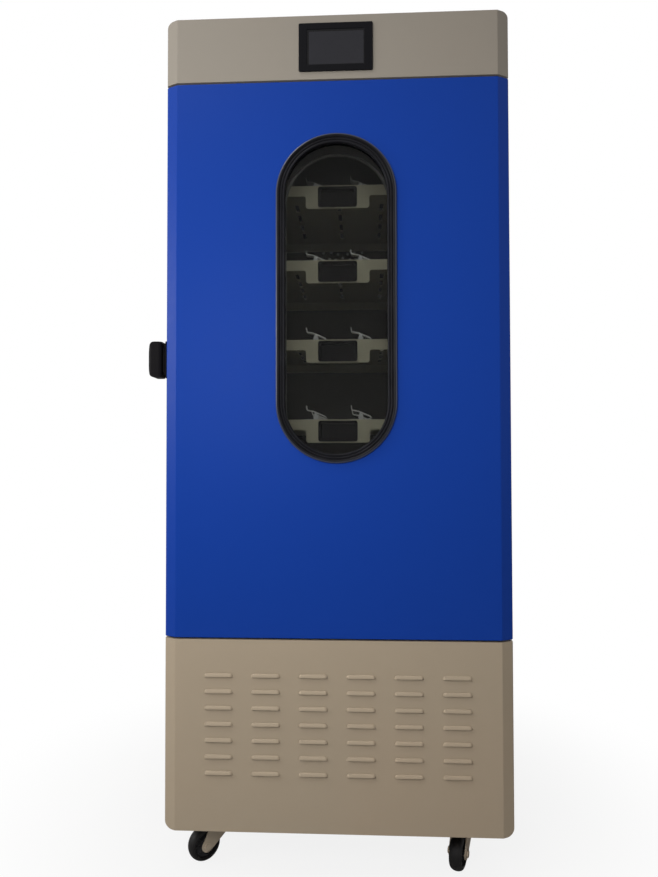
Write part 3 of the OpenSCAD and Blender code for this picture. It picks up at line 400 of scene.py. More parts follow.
def display(name):
    """Touch screen that is off: grey panel behind glass, black border, faint finger marks."""
    s = Shade(name)
    low, high = box("hmi_screen")
    middle, half = (low + high) / 2, (high - low) / 2
    across = abs(s.axis("X") - middle.x - 1.1 * MM) / (half.x - 1.6 * MM)
    upright = abs(s.axis("Z") - middle.z + 1.6 * MM) / (half.z - 1.8 * MM)
    panel = across.most(upright).rise(0.985, 0.995, 1.0, 0.0)
    marks = s.noise(0.02, 5.0, rough=0.6).rise(0.45, 0.8)
    base = s.mix(paint(14, 14, 16), paint(37, 37, 42), panel)
    return s.surface({"Base Color": s.mix(base, paint(52, 52, 56), marks * 0.12),
                      "Roughness": 0.08 + marks * 0.2, "Specular IOR Level": 0.16,
                      "Normal": s.relief(marks, 0.004 * MM, 0.3)})


def foam(name):
    """Rigid polyurethane foam: cells, skin and yellowing."""
    s = Shade(name)
    cell = s.cells(1.2 * MM)
    old = s.noise(0.08, 4.0)
    base = s.mix(paint(226, 214, 182), paint(196, 172, 122), old.rise(0.35, 0.8) * 0.6)
    return s.surface({"Base Color": s.tint(base, 0.82 + cell * 0.3), "Roughness": 0.86 + cell * 0.1,
                      "Normal": s.relief(cell + old * 0.5, 0.35 * MM, 0.7)})


def tyre(name):
    """Wheel tread: moulded nylon with scuffs round the running face."""
    s = Shade(name)
    grit = s.noise(1.1 * MM, 5.0, rough=0.75)
    scuff = s.noise(6 * MM, 5.0, rough=0.7).rise(0.5, 0.72)
    base = s.mix(paint(21, 20, 21), paint(70, 66, 60), scuff * 0.3)
    return s.surface({"Base Color": s.tint(base, 0.85 + grit * 0.3), "Roughness": 0.48 + scuff * 0.25,
                      "Normal": s.relief(grit + scuff * 0.8, 0.12 * MM, 0.6, s.soft_edge(0.6 * MM)),
                      "Specular IOR Level": 0.2})


def copper_and_fins(name, fin, tube, half):
    """Coil: bare fins between the ends, and copper where the tubes and bends come out beyond a half width."""
    s = Shade(name)
    cx = sum(c.x for c in box(name)) / 2
    out = (abs(s.axis("X") - cx) - half).rise(0.0, 0.4 * MM)
    dust = s.noise(0.02, 5.0).rise(0.4, 0.8)
    line = s.noise(0.7 * MM, 3.0, (1.0, 1.0, 30.0))
    base = s.mix(s.tint(fin, 0.8 + line * 0.3), s.tint(tube, 0.75 + dust * 0.4), out)
    return s.surface({"Base Color": s.mix(base, paint(120, 112, 100), dust * 0.25 * (1.0 - out)),
                      "Metallic": 0.9, "Roughness": 0.34 + dust * 0.25,
                      "Normal": s.relief(line + dust, 0.03 * MM, 0.5)})


MAKERS = {
    "door_coat": lambda n: powder_coat(n, colours().door, 0.40),
    # The base fascia's lighter colour is painted light that makes up for the light the low front lacks
    "fascia_coat": lambda n: powder_coat(n, colours().fascia, 0.46),
    "head_coat": lambda n: powder_coat(n, colours().head, 0.44),
    "casing_coat": lambda n: powder_coat(n, colours().casing, 0.48),
    # The trays' lighter colour is painted light for the dim inside of the chamber
    "tray_coat": lambda n: powder_coat(n, colours().tray, 0.5, 0.5),
    "box_coat": lambda n: powder_coat(n, paint(150, 154, 155), 0.5, 0.3),
    "frame_coat": lambda n: powder_coat(n, paint(96, 93, 88), 0.55, 0.5),
    "fork_coat": lambda n: powder_coat(n, paint(176, 163, 146), 0.42, 0.6, 0.7 * MM, 0.5),
    "pot_coat": lambda n: powder_coat(n, paint(30, 31, 33), 0.34, 0.3, 1.2 * MM, 0.7),
    "liner_steel": lambda n: brushed(n, colours().steel, "Z", 0.42),
    # The duct cover's steel is the lining's darkened to 0.35: painted shade for the dark back of the chamber
    "duct_steel": lambda n: brushed(n, scaled(colours().steel, 0.35), "X", 0.5),
    "zinc": lambda n: plated(n, colours().zinc),
    "clip_zinc": lambda n: plated(n, (0.66, 0.66, 0.64), 0.28, 0.15),
    "spring_steel": lambda n: plated(n, (0.42, 0.42, 0.42), 0.26, 0.1),
    "motor_cast": lambda n: plated(n, (0.10, 0.11, 0.115), 0.48, 0.5),
    "fan_alloy": lambda n: plated(n, (0.42, 0.43, 0.43), 0.4, 0.3),
    "heater_sheath": lambda n: plated(n, (0.19, 0.15, 0.12), 0.42, 0.6),
    "grip_plastic": lambda n: moulded(n, colours().plastic, 0.46, ribs=4.6 * MM),
    # A darker copy of the black plastic: the pulls' own deep black, and painted shade on the latch's base in
    # the grip's shadow
    "pull_plastic": lambda n: moulded(n, scaled(colours().plastic, 0.7), 0.42),
    "bezel_plastic": lambda n: moulded(n, paint(15, 15, 18), 0.4, 0.35 * MM),
    "fan_plastic": lambda n: moulded(n, paint(40, 42, 44), 0.42),
    "hub_plastic": lambda n: moulded(n, paint(52, 52, 54), 0.45),
    # The window's rubber carries a painted highlight on its outer lip
    "window_rubber": lambda n: rubber(n, colours().rubber, 0.34, 0.03 * MM, 0.4, window_lip),
    "seal_rubber": lambda n: rubber(n, paint(50, 50, 52)),
    "outer_glass": lambda n: glass(n, (0.75, 0.75, 0.74), 1.15),
    "inner_glass": lambda n: glass(n, (0.88, 0.89, 0.88), 1.10),
    "screen": display,
    "foam": foam,
    "tyre": tyre,
    "evaporator": lambda n: copper_and_fins(n, (0.55, 0.56, 0.56), (0.60, 0.30, 0.17), 206 * MM),
    "condenser": lambda n: copper_and_fins(n, (0.50, 0.50, 0.49), (0.58, 0.28, 0.15), 106 * MM),
}


def sizes():
    """The sizes that the user has set."""
    return bpy.context.scene.chamber_sizes


def colours():
    """The colours that the user has set, as plain tuples."""
    found = bpy.context.scene.chamber_colours
    return SimpleNamespace(**{key: tuple(getattr(found, key)) for key in found.__annotations__})


def dress(finish_name, *nodes):
    """Gives nodes of the frame a finish in their material slots."""
    for node in nodes:
        obj = frame["nodes"][node]
        if not obj.material_slots:
            obj.data.materials.append(None)
        for slot in obj.material_slots:
            slot.material = finish(finish_name)


# Mesh helpers

def mesh_of(bm, name):
    """The finished mesh of one that was being built."""
    mesh = bpy.data.meshes.new(name)
    bm.to_mesh(mesh)
    bm.free()
    return mesh


def placed(name, data):
    """An object of some data, in the scene."""
    obj = bpy.data.objects.new(name, data)
    bpy.context.scene.collection.objects.link(obj)
    return obj


def piece(name, bm, finish_name, body, replaces=(), sharp=32):
    """Makes an object of a mesh, shades it, and lets it ride on its body."""
    bmesh.ops.recalc_face_normals(bm, faces=bm.faces)
    mesh = mesh_of(bm, name)
    mesh.shade_smooth()
    mesh.set_sharp_from_angle(angle=math.radians(sharp))
    mesh.materials.append(finish(finish_name))
    obj = placed(name, mesh)
    obj.modifiers.new("even faces", "WEIGHTED_NORMAL").keep_sharp = True
    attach(obj, body)
    if replaces:
        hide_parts(*replaces)


def filleted(points, radii, steps=6, closed=True):
    """Outline whose corners are turned into arcs."""
    out = []
    n = len(points)
    for i, p in enumerate(points):
        p = Vector(p)
        r = radii if isinstance(radii, (int, float)) else radii[i]
        if r <= 0 or (not closed and i in (0, n - 1)):
            out.append(p)
            continue
        a = Vector(points[i - 1]) - p
        b = Vector(points[(i + 1) % n]) - p
        half = a.angle(b) / 2
        if abs(half - math.pi / 2) < 1e-4:
            out.append(p)
            continue
        reach = min(r / math.tan(half), 0.49 * a.length, 0.49 * b.length)
        r = reach * math.tan(half)
        centre = p + (a.normalized() + b.normalized()).normalized() * (r / math.sin(half))
        start = p + a.normalized() * reach - centre
        end = p + b.normalized() * reach - centre
        turn = start.angle(end)
        sign = 1 if start.x * end.y - start.y * end.x > 0 else -1
        for k in range(steps + 1):
            t = sign * turn * k / steps
            c, s = math.cos(t), math.sin(t)
            out.append(centre + Vector((start.x * c - start.y * s, start.x * s + start.y * c)))
    return out


def prism(bm, outline, lift, bottom, top):
    """Closed solid of an outline; lift turns a point of it and a height into a point in space."""
    low = [bm.verts.new(lift(p, bottom)) for p in outline]
    high = [bm.verts.new(lift(p, top)) for p in outline]
    n = len(outline)
    bm.faces.new(low)
    bm.faces.new(high[::-1])
    for i in range(n):
        bm.faces.new((low[i], high[i], high[(i + 1) % n], low[(i + 1) % n]))


def on_plan(p, h):
    """An outline seen from above."""
    return (p[0], p[1], h)


def on_front(p, h):
    """An outline seen from the front."""
    return (p[0], h, p[1])


def skin(bm, rings, closed=True, looped=False):
    """Faces between rings of points that have the same count."""
    made = [[bm.verts.new(p) for p in ring] for ring in rings]
    n = len(made[0])
    for a, b in zip(made, made[1:] + made[:1] if looped else made[1:]):
        for i in range(n if closed else n - 1):
            j = (i + 1) % n
            bm.faces.new((a[i], a[j], b[j], b[i]))
    return made


def lathe(bm, profile, steps, at=(0.0, 0.0, 0.0), upright=True):
    """Turned solid of (radius, height) points in millimetres, its axis upright or from front to back."""
    rings = []
    for k in range(steps):
        t = math.tau * k / steps
        c, s = math.cos(t), math.sin(t)
        sides = [(r * MM * c, r * MM * s, h * MM) for r, h in profile]
        rings.append([Vector(at) + Vector((x, y, h) if upright else (x, h, y)) for x, y, h in sides])
    skin(bm, rings, looped=True)


def tube(bm, path, r, sides):
    """Round bar or pipe along points, with closed ends."""
    path = [Vector(p) for p in path]
    up = Vector((0, 0, 1))
    rings = []
    for i, p in enumerate(path):
        d = (path[min(i + 1, len(path) - 1)] - path[max(i - 1, 0)]).normalized()
        side = d.cross(up)
        if side.length < 0.2:
            side = d.cross(Vector((0, 1, 0)))
        side.normalize()
        if rings and side.dot(last) < 0:
            side = -side
        last = side
        high = side.cross(d)
        rings.append([p + r * (math.cos(t) * side + math.sin(t) * high)
                      for t in (math.tau * k / sides for k in range(sides))])
    made = skin(bm, rings)
    bm.faces.new(made[0][::-1])
    bm.faces.new(made[-1])


def round_edges(bm, radius, segments, angle, keep=None):
    """Rounds the edges that turn more than an angle."""
    chosen = [e for e in bm.edges if len(e.link_faces) == 2 and e.calc_face_angle(0) > math.radians(angle)
              and (keep is None or keep(e))]
    bmesh.ops.bevel(bm, geom=chosen, offset=radius, segments=segments, profile=0.5, affect="EDGES",
                    clamp_overlap=True)


def boolean(a, b, operation):
    """Solid a joined with, cut by or kept inside solid b; both are used up."""
    objs = []
    for bm in (a, b):
        bmesh.ops.recalc_face_normals(bm, faces=bm.faces)
        objs.append(placed("cut", mesh_of(bm, "cut")))
    tool = objs[0].modifiers.new("cut", "BOOLEAN")
    tool.operation = operation
    tool.solver = "EXACT"
    tool.object = objs[1]
    done = objs[0].evaluated_get(bpy.context.evaluated_depsgraph_get())
    out = bmesh.new()
    out.from_mesh(done.to_mesh())
    for obj in objs:
        bpy.data.objects.remove(obj)
    bmesh.ops.remove_doubles(out, verts=out.verts, dist=1e-6)
    return out


def softened(node, finish_name, body, radius, segments=2):
    """A node's solid with its edges really rounded, in the place of the sharp one."""
    bm = bmesh.new()
    bm.from_mesh(frame["nodes"][node].data)
    bmesh.ops.remove_doubles(bm, verts=bm.verts, dist=2e-6)
    bmesh.ops.dissolve_limit(bm, angle_limit=math.radians(1.5), verts=bm.verts, edges=bm.edges)
    round_edges(bm, radius, segments, 32)
    piece("soft_" + node, bm, finish_name, body, (node,), sharp=40)


SCREW_STEPS = 20
SCREW_RISE = 0.62


def screw_head(bm, at, facing, r):
    """Pan head with a cross recess, its shank hidden in the sheet."""
    at, facing = Vector(at), Vector(facing).normalized()
    side = facing.orthogonal().normalized()
    other = facing.cross(side)
    rings = []
    for share, high in ((0.30, 0.98), (0.62, 0.86), (0.86, 0.62), (0.98, 0.3), (1.0, 0.0)):
        ring = []
        for k in range(SCREW_STEPS):
            t = math.tau * k / SCREW_STEPS
            in_cross = share < 0.55 and abs(math.sin(2 * t)) < 0.35
            rise = (high - 0.5 * in_cross) * SCREW_RISE * r - 0.02 * MM
            ring.append(at + facing * rise + r * share * (math.cos(t) * side + math.sin(t) * other))
        rings.append(ring)
    made = skin(bm, rings)
    centre = bm.verts.new(at + facing * SCREW_RISE * r * 0.45)
    for k in range(SCREW_STEPS):
        bm.faces.new((made[0][k], made[0][(k + 1) % SCREW_STEPS], centre))


# Operators

# The photograph's camera: place in metres, turns in degrees round Z, X and Y, and focal length
EYE = (0.0463, -1.558, 0.776)
YAW, PITCH, ROLL = 2.752, 1.370, 0.109
LENS = 27.91

WHITE = (1.0, 1.0, 1.0)
ROOM_TONE = (1.0, 0.985, 0.96)
ROOM_LIGHT = 0.22

# Lamps: name, place, the point they face, width in metres, watts, tone, and whether glass and gloss show them
LAMPS = (
    ("front_lamp", (-0.32, -1.4, 1.08), (-0.2, -0.25, 0.85), 0.6, 9.5, (1.0, 0.985, 0.96), False),
    ("side_lamp", (-2.4, -0.9, 1.4), (-0.2, -0.25, 0.85), 0.9, 20.0, (1.0, 0.99, 0.98), True),
    ("fill_lamp", (2.4, -2.6, 1.2), (0.0, -0.2, 0.6), 2.0, 1.5, (0.95, 0.98, 1.0), True),
    ("top_lamp", (-1.0, -1.1, 2.8), (0.0, -0.1, 0.7), 1.0, 17.0, (1.0, 0.99, 0.97), True),
    ("back_lamp", (0.6, 3.0, 1.9), (0.0, 0.2, 0.9), 2.0, 55.0, WHITE, True),
)


def light_room():
    """Soft even light, with white for what the camera, gloss and glass see."""
    s = Shade("room", bpy.data.worlds)
    seen = s.ray("Camera").most(s.ray("Glossy")).most(s.ray("Transmission"))
    lit = s.make("ShaderNodeBackground", {}, {"Color": ROOM_TONE, "Strength": ROOM_LIGHT})
    white = s.make("ShaderNodeBackground", {}, {"Color": WHITE, "Strength": 1.0})
    return s.end(s.make("ShaderNodeMixShader", {}, {0: seen, 1: lit, 2: white}), "World")


def pale_floor():
    """Matt pale floor that the camera sees grow white away from the cabinet."""
    s = Shade("pale_floor")
    away = s.make("ShaderNodeVectorMath", {"operation": "LENGTH"}, {0: s.place}, output="Value")
    speck = s.noise(0.4, 3.0)
    base = s.tint((0.52, 0.52, 0.51), 0.985 + speck * 0.03)
    body = s.make("ShaderNodeBsdfPrincipled", {}, {"Base Color": base, "Roughness": 0.9 - speck * 0.1,
                                                   "Specular IOR Level": 0.1})
    glow = s.make("ShaderNodeEmission", {}, {"Color": WHITE, "Strength": 1.0})
    share = s.ray("Camera") * away.rise(0.3, 0.95, 0.86, 1.0)
    return s.end(s.make("ShaderNodeMixShader", {}, {0: share, 1: body, 2: glow}))


class CHAMBER_OT_stage(bpy.types.Operator):
    """Sets the floor, the light and the camera."""
    bl_idname = "chamber.stage"
    bl_label = "Set the stage"

    def execute(self, context):
        scene = context.scene
        scene.view_settings.view_transform = "Standard"
        scene.world = light_room()
        camera = bpy.data.cameras.new("camera")
        camera.sensor_width = 36.0
        camera.lens = LENS
        camera.clip_start = 0.05
        camera.clip_end = 60.0
        turn = (Matrix.Rotation(math.radians(YAW), 3, "Z") @ Matrix.Rotation(math.radians(PITCH), 3, "X")
                @ Matrix.Rotation(math.radians(ROLL), 3, "Y"))
        right, forward, up = turn.col
        look = Matrix((right, up, -forward)).transposed().to_4x4()
        scene.camera = placed("camera", camera)
        scene.camera.matrix_world = Matrix.Translation(EYE) @ look

        bm = bmesh.new()
        steps = 64
        made = skin(bm, [[(r * math.cos(math.tau * k / steps), r * math.sin(math.tau * k / steps), -0.2 * MM)
                          for k in range(steps)] for r in (0.6, 2.5, 20.0)])
        bm.faces.new(made[0])
        floor = placed("floor", mesh_of(bm, "floor"))
        floor.data.materials.append(pale_floor())

        for name, place, aim, width, watts, tone, shows in LAMPS:
            lamp = bpy.data.lights.new(name, "AREA")
            lamp.shape = "DISK"
            lamp.size = width
            lamp.energy = watts
            lamp.color = tone
            obj = placed(name, lamp)
            obj.location = place
            obj.rotation_euler = (Vector(aim) - Vector(place)).to_track_quat("-Z", "Y").to_euler()
            obj.visible_glossy = shows
            obj.visible_transmission = shows
        return {"FINISHED"}


def front_plan(inset, bend, back):
    """Plan of a folded front, open at the back, with round folds beside the chamfers."""
    z = sizes()
    w = box("base_fascia")[1].x - inset
    front = FRONT + inset
    points = [(-w, back), (-w, front + z.chamfer_d), (-w + z.chamfer_w, front), (w - z.chamfer_w, front),
              (w, front + z.chamfer_d), (w, back)]
    return filleted(points, [0, bend, bend, bend, bend, 0], 5)


# Half depth of a cutting solid that reaches past the whole cabinet
PAST_ALL = 0.4


def join_flats(bm):
    """Joins the faces that lie in one plane."""
    bmesh.ops.dissolve_limit(bm, angle_limit=math.radians(0.5), verts=bm.verts, edges=bm.edges)


def front_pan(foot, top, back, low_r=0.0, high_r=0.0):
    """Folded front sheet between two heights, hollow towards the back."""
    z = sizes()
    half = box("base_fascia")[1].x

    def shell(inset, extra):
        plan = bmesh.new()
        bend = max(z.bend - inset, 1 * MM)
        prism(plan, front_plan(inset, bend, back + extra), on_plan, foot + inset, top - inset)
        w = half - inset
        front = bmesh.new()
        corners = [(-w, foot + inset), (w, foot + inset), (w, top - inset), (-w, top - inset)]
        radii = [max(r - inset, 0.0) for r in (low_r, low_r, high_r, high_r)]
        prism(front, filleted(corners, radii, 8), on_front, -PAST_ALL, PAST_ALL)
        return boolean(plan, front, "INTERSECT")

    outer = shell(0.0, 0.0)
    join_flats(outer)
    round_edges(outer, z.fold, 3, 50, lambda e: all(v.co.y < back - 1 * MM for v in e.verts))
    return boolean(outer, shell(z.sheet, 2 * MM), "DIFFERENCE")


def punched(pan, outlines):
    """Sheet with holes of the given outlines through its face."""
    z = sizes()
    tool = bmesh.new()
    for outline in outlines:
        prism(tool, outline, on_front, FRONT - 2 * MM, FRONT + z.sheet + 1 * MM)
    return boolean(pan, tool, "DIFFERENCE")


def eased(pan):
    """Sheet with its flat faces joined and its cut edges rounded."""
    join_flats(pan)
    round_edges(pan, sizes().edge, 2, 40)
    return pan


# A louvre's end radius, its steps round an end and from lip to top, its steps along the top, and its bow
LOUVRE_END = 5 * MM
LOUVRE_ROWS = 7
LOUVRE_FLAT = 12
LOUVRE_BOW = 0.62


def louvre_places():
    """Middle and height of each louvre's lip."""
    z = sizes()
    foot = box("base_fascia")[0].z
    for i in range(z.louvre_cols):
        for k in range(z.louvre_rows):
            yield ((i - (z.louvre_cols - 1) / 2) * z.louvre_dx,
                   foot + z.louvre_z + (k - (z.louvre_rows - 1) / 2) * z.louvre_dz - z.louvre_h / 2)


def louvre_foot():
    """Where a louvre meets the sheet, from end to end over its top, and the ridge's x for each point."""
    z = sizes()
    inner = z.louvre_w / 2 - LOUVRE_END

    def rounded(sign, start):
        turns = [math.radians(start - 90 * k / LOUVRE_ROWS) for k in range(LOUVRE_ROWS + 1)]
        return [(sign * inner + LOUVRE_END * math.cos(t), z.louvre_h * math.sin(t), sign * inner)
                for t in turns]

    along = [-inner + 2 * inner * k / LOUVRE_FLAT for k in range(1, LOUVRE_FLAT)]
    return rounded(-1, 180) + [(x, z.louvre_h, x) for x in along] + rounded(1, 90)


class CHAMBER_OT_fold_base(bpy.types.Operator):
    """Folds the base fascia and presses its louvres."""
    bl_idname = "chamber.fold_base"
    bl_label = "Fold the base fascia"

    def execute(self, context):
        z = sizes()
        low, high = box("base_fascia")
        half = z.louvre_w / 2
        holes = [[(x + p, lip + q) for p, q, ridge in louvre_foot()]
                 + [(x + half, lip - 1 * MM), (x - half, lip - 1 * MM)] for x, lip in louvre_places()]
        pan = punched(front_pan(low.z, high.z, high.y, low_r=z.foot), holes)
        piece("base_fascia_sheet", eased(pan), "fascia_coat", "cabinet",
              ("base_fascia",), sharp=24)

        pressed = bmesh.new()
        for x, lip in louvre_places():
            faces = []
            for back in (0.0, z.sheet):
                rings = []
                for k in range(LOUVRE_ROWS + 1):
                    s = math.sin(math.pi / 2 * k / LOUVRE_ROWS)
                    out = z.louvre_out * (1 - s ** 2.0) ** LOUVRE_BOW if k < LOUVRE_ROWS else 0.0
                    rings.append([(x + ridge + (p - ridge) * s, FRONT - out + back, lip + q * s)
                                  for p, q, ridge in louvre_foot()])
                faces.append(skin(pressed, rings, closed=False))
            rims = [[[ring[side] for ring in face] for face in faces] for side in (0, -1)]
            for outer, inner in (*rims, [face[0] for face in faces]):
                for k in range(len(outer) - 1):
                    if (outer[k].co - outer[k + 1].co).length > 1e-6:
                        pressed.faces.new((outer[k], outer[k + 1], inner[k + 1], inner[k]))
        bmesh.ops.remove_doubles(pressed, verts=pressed.verts, dist=1e-6)
        piece("base_louvres", pressed, "fascia_coat", "cabinet", sharp=50)
        return {"FINISHED"}


# How far the bezel and the window's rubber lap over their holes
BEZEL_LAP = 3.5 * MM
RUBBER_LAP = 7.3 * MM

# The door's hinge blocks: half their width, their height, and the bore's radius in millimetres
HINGE_HALF = 13 * MM
HINGE_BLOCK = 24 * MM
PIN_BORE = 5.05

# The rear panel's screws: their radius, and how far in from the edge they sit
SCREW_R = 3.1 * MM
SCREW_IN = 14 * MM


class CHAMBER_OT_coat_sheets(bpy.types.Operator):
    """Coats the casing, the back, the door's skin and the control fascia, and puts in the panel screws."""
    bl_idname = "chamber.coat_sheets"
    bl_label = "Coat the sheets"

    def execute(self, context):
        z = sizes()
        low, high = box("control_fascia")
        a, b = box("hmi_bezel")
        mid = (a + b) / 2
        w, h = (b.x - a.x) / 2 - BEZEL_LAP, (b.z - a.z) / 2 - BEZEL_LAP
        hole = [(mid.x + i * w, mid.z + k * h) for i, k in ((-1, -1), (1, -1), (1, 1), (-1, 1))]
        pan = punched(front_pan(low.z, high.z, high.y, high_r=z.head), [filleted(hole, 1.5 * MM, 3)])
        piece("control_fascia_sheet", eased(pan), "head_coat", "cabinet",
              ("control_fascia",), sharp=24)

        low, high = box("door_shell")
        reach = z.window_w / 2 - RUBBER_LAP
        hole = [(p.x, p.z) for p in (c + out * reach for c, out in window_stations(48, 6))]
        pan = eased(punched(front_pan(low.z, high.z, high.y), [hole]))
        a, b = box("hinge_brackets")
        x, y = a.x + HINGE_HALF, a.y + HINGE_HALF
        side = high.x - z.sheet
        for end, turn in ((low.z + z.sheet, 1), (high.z - z.sheet, -1)):
            block = bmesh.new()
            square = [(x - HINGE_HALF, y - HINGE_HALF), (side, y - HINGE_HALF),
                      (side, y + HINGE_HALF), (x - HINGE_HALF, y + HINGE_HALF)]
            prism(block, square, on_plan, *sorted((end, end + turn * HINGE_BLOCK)))
            bore = bmesh.new()
            first, last = sorted((-40 * turn, 22 * turn))
            outline = [(0.0001, first), (PIN_BORE, first), (PIN_BORE, last), (0.0001, last)]
            lathe(bore, outline, 32, (x, y, end))
            pan = boolean(boolean(pan, block, "UNION"), bore, "DIFFERENCE")
        piece("door_skin", pan, "door_coat", "door", ("door_shell",), sharp=24)
        dress("casing_coat", "outer_casing", "rear_panel")
        dress("frame_coat", "base_frame")

        low, high = box("rear_panel")
        left, right = low.x + SCREW_IN, high.x - SCREW_IN
        spots = [(x, end) for x in (left, 0.0, right) for end in (low.z + SCREW_IN, high.z - SCREW_IN)]
        spots += [(x, low.z + (high.z - low.z) * k / 6) for x in (left, right) for k in range(1, 6)]
        bm = bmesh.new()
        for x, height in spots:
            screw_head(bm, (x, high.y, height), (0, 1, 0), SCREW_R)
        piece("rear_screws", bm, "zinc", "cabinet")
        return {"FINISHED"}


def window_middle():
    """Height of the window's middle."""
    return box("door_shell")[0].z - SEAM + sizes().window_z


def window_stations(arc, straight):
    """Points of the window's middle line with the way outwards from each."""
    z = sizes()
    half = (z.window_h - z.window_w) / 2
    out = []
    for side in (1, -1):
        centre = window_middle() + side * half
        for k in range(arc + 1):
            t = math.pi * k / arc + (math.pi if side < 0 else 0.0)
            out.append((Vector((0, 0, centre)), Vector((math.cos(t), 0, math.sin(t)))))
        for k in range(1, straight):
            out.append((Vector((0, 0, centre - side * 2 * half * k / straight)), Vector((-side, 0, 0))))
    return out


def arc_points(cx, cy, r, start, end, steps):
    """Points of an arc between two angles in degrees."""
    turns = [math.radians(start + (end - start) * k / steps) for k in range(steps + 1)]
    return [(cx + r * math.cos(t), cy + r * math.sin(t)) for t in turns]


# Section of the window's rubber in millimetres: out from the glass edge, and forward of the door's face
RUBBER = [(6.5, -12.2), (0.3, -12.2), (0.0, -11.9), (0.0, -9.1), (4.4, -9.1), (4.4, -3.9), (0.2, -3.9),
          *arc_points(2.4, 1.5, 2.4, 185, 20, 9), (5.0, 2.4), *arc_points(7.4, 2.2, 2.0, 165, 15, 6),
          (9.8, 3.0), *arc_points(13.7, 2.6, 3.6, 165, -38, 12), (17.0, 0.05), (9.8, 0.0),
          (9.8, -1.7), (13.4, -1.75), (13.3, -4.6), (6.5, -4.7)]


class CHAMBER_OT_fit_window(bpy.types.Operator):
    """Fits the window's rubber and glass."""
    bl_idname = "chamber.fit_window"
    bl_label = "Fit the window"

    def execute(self, context):
        z = sizes()
        glass_r = z.window_w / 2 - z.rubber
        bm = bmesh.new()
        rings = [[c + out * (glass_r + p * MM) + Vector((0, FRONT - f * MM, 0)) for p, f in RUBBER]
                 for c, out in window_stations(40, 10)]
        skin(bm, rings, looped=True)
        piece("window_rubber", bm, "window_rubber", "door", ("window_gasket",), sharp=42)
        dress("outer_glass", "outer_pane")
        dress("inner_glass", "inner_pane")
        return {"FINISHED"}


class CHAMBER_OT_fit_display(bpy.types.Operator):
    """Fits the control panel's bezel and screen."""
    bl_idname = "chamber.fit_display"
    bl_label = "Fit the display"

    def execute(self, context):
        softened("hmi_bezel", "bezel_plastic", "cabinet", 0.6 * MM, 3)
        dress("screen", "hmi_screen")
        return {"FINISHED"}


class CHAMBER_OT_mould_latch(bpy.types.Operator):
    """Moulds the latch's grip and base, and plates the striker and the hinge brackets."""
    bl_idname = "chamber.mould_latch"
    bl_label = "Mould the latch"

    def execute(self, context):
        softened("latch_lever", "grip_plastic", "latch", 1.6 * MM, 4)
        # The latch's base gets the darker plastic as painted shade, since it lies in the grip's shadow
        softened("latch_base", "pull_plastic", "door", 0.7 * MM, 2)
        softened("striker", "zinc", "cabinet", 0.4 * MM, 2)
        softened("hinge_brackets", "zinc", "cabinet", 0.4 * MM, 2)
        return {"FINISHED"}


# Section of the seal in millimetres, across it and from the door towards the cabinet; its half width and bend
SEAL = [(-9.8, 0.0), (-9.8, 1.6), (-8.8, 2.2), (-6.4, 3.1), (-6.2, 3.9), (-8.9, 5.2), (-9.9, 6.4),
        (-9.6, 8.6), (-8.4, 9.6), (-3.0, 9.7), (0.0, 9.3), (3.0, 9.7), (8.4, 9.6), (9.6, 8.6),
        (9.9, 6.4), (8.9, 5.2), (6.2, 3.9), (6.4, 3.1), (8.8, 2.2), (9.8, 1.6), (9.8, 0.0)]
SEAL_HALF = 10 * MM
SEAL_BEND = 14 * MM


class CHAMBER_OT_line_chamber(bpy.types.Operator):
    """Finishes the lining, the foam and the door's inside, and lays the door's seal."""
    bl_idname = "chamber.line_chamber"
    bl_label = "Line the chamber"

    def execute(self, context):
        dress("liner_steel", "chamber_liner", "door_liner")
        # The duct cover gets the darkened steel, as painted shade
        dress("duct_steel", "duct_cover")
        dress("zinc", "tray_runners")
        dress("foam", "insulation", "door_core")
        low, high = box("door_seal")
        left, right = low.x + SEAL_HALF, high.x - SEAL_HALF
        foot, top = low.z + SEAL_HALF, high.z - SEAL_HALF
        path = filleted([(left, foot), (right, foot), (right, top), (left, top)], SEAL_BEND, 8)
        rings = []
        for i, p in enumerate(path):
            d = (path[(i + 1) % len(path)] - path[i - 1]).normalized()
            rings.append([Vector((p.x + d.y * a * MM, low.y + b * MM, p.y - d.x * a * MM)) for a, b in SEAL])
        bm = bmesh.new()
        skin(bm, rings, looped=True)
        piece("seal_strip", bm, "seal_rubber", "door", ("door_seal",), sharp=40)
        return {"FINISHED"}


class CHAMBER_OT_place_trays(bpy.types.Operator):
    """Coats the trays and moulds their pulls."""
    bl_idname = "chamber.place_trays"
    bl_label = "Place the trays"

    def execute(self, context):
        dress("tray_coat", "tray_1", "tray_2", "tray_3", "tray_4")
        softened("tray_pulls", "pull_plastic", "cabinet", 1.1 * MM, 3)
        return {"FINISHED"}


# Side views of a clip in millimetres, from its pin's middle and above the tray: the lever with its bends
LEVER = [(-19.5, 29.6), (-18, 20.5), (-5, 18.2), (19.2, 7.6), (20.4, 5.2)]
LEVER_BENDS = [0, 2.2, 3.5, 1.6, 0]
LEVER_GAUGE = 1.7
LEVER_HALF = 8 * MM
CHEEK = [(-3.0, 12.0), (-1.2, 17.6), (3.6, 15.2), (3.0, 10.6), (0.0, 9.0), (-2.6, 10.0)]
CHEEK_IN = 6.7 * MM
CHEEK_OUT = 7.9 * MM
PIN_HEIGHT = 12.0

# From a column's box to its pin and down to its tray
PIN_IN = 20.4 * MM
DECK_UNDER = 4.4 * MM

# The spring: radius and half length in millimetres, turns, steps in a turn and ends of the wire
COIL_R = 3.0
COIL_HALF = 4.0
COIL_TURNS = 3.5
COIL_STEPS = 12
WIRE_R = 0.5 * MM
SPRING_ENDS = ((-3.0, -4.2, 2.4), (9.0, 4.2, 11.0))


def clip_spots():
    """Each column's name, the x of its pin, the height of its tray and the y of its two levers."""
    for i in range(1, 5):
        for letter in "abcd":
            low, high = box(f"clip_levers_{i}{letter}")
            rows = (low.y + LEVER_HALF, high.y - LEVER_HALF)
            yield f"{i}{letter}", low.x + PIN_IN, low.z - DECK_UNDER, rows


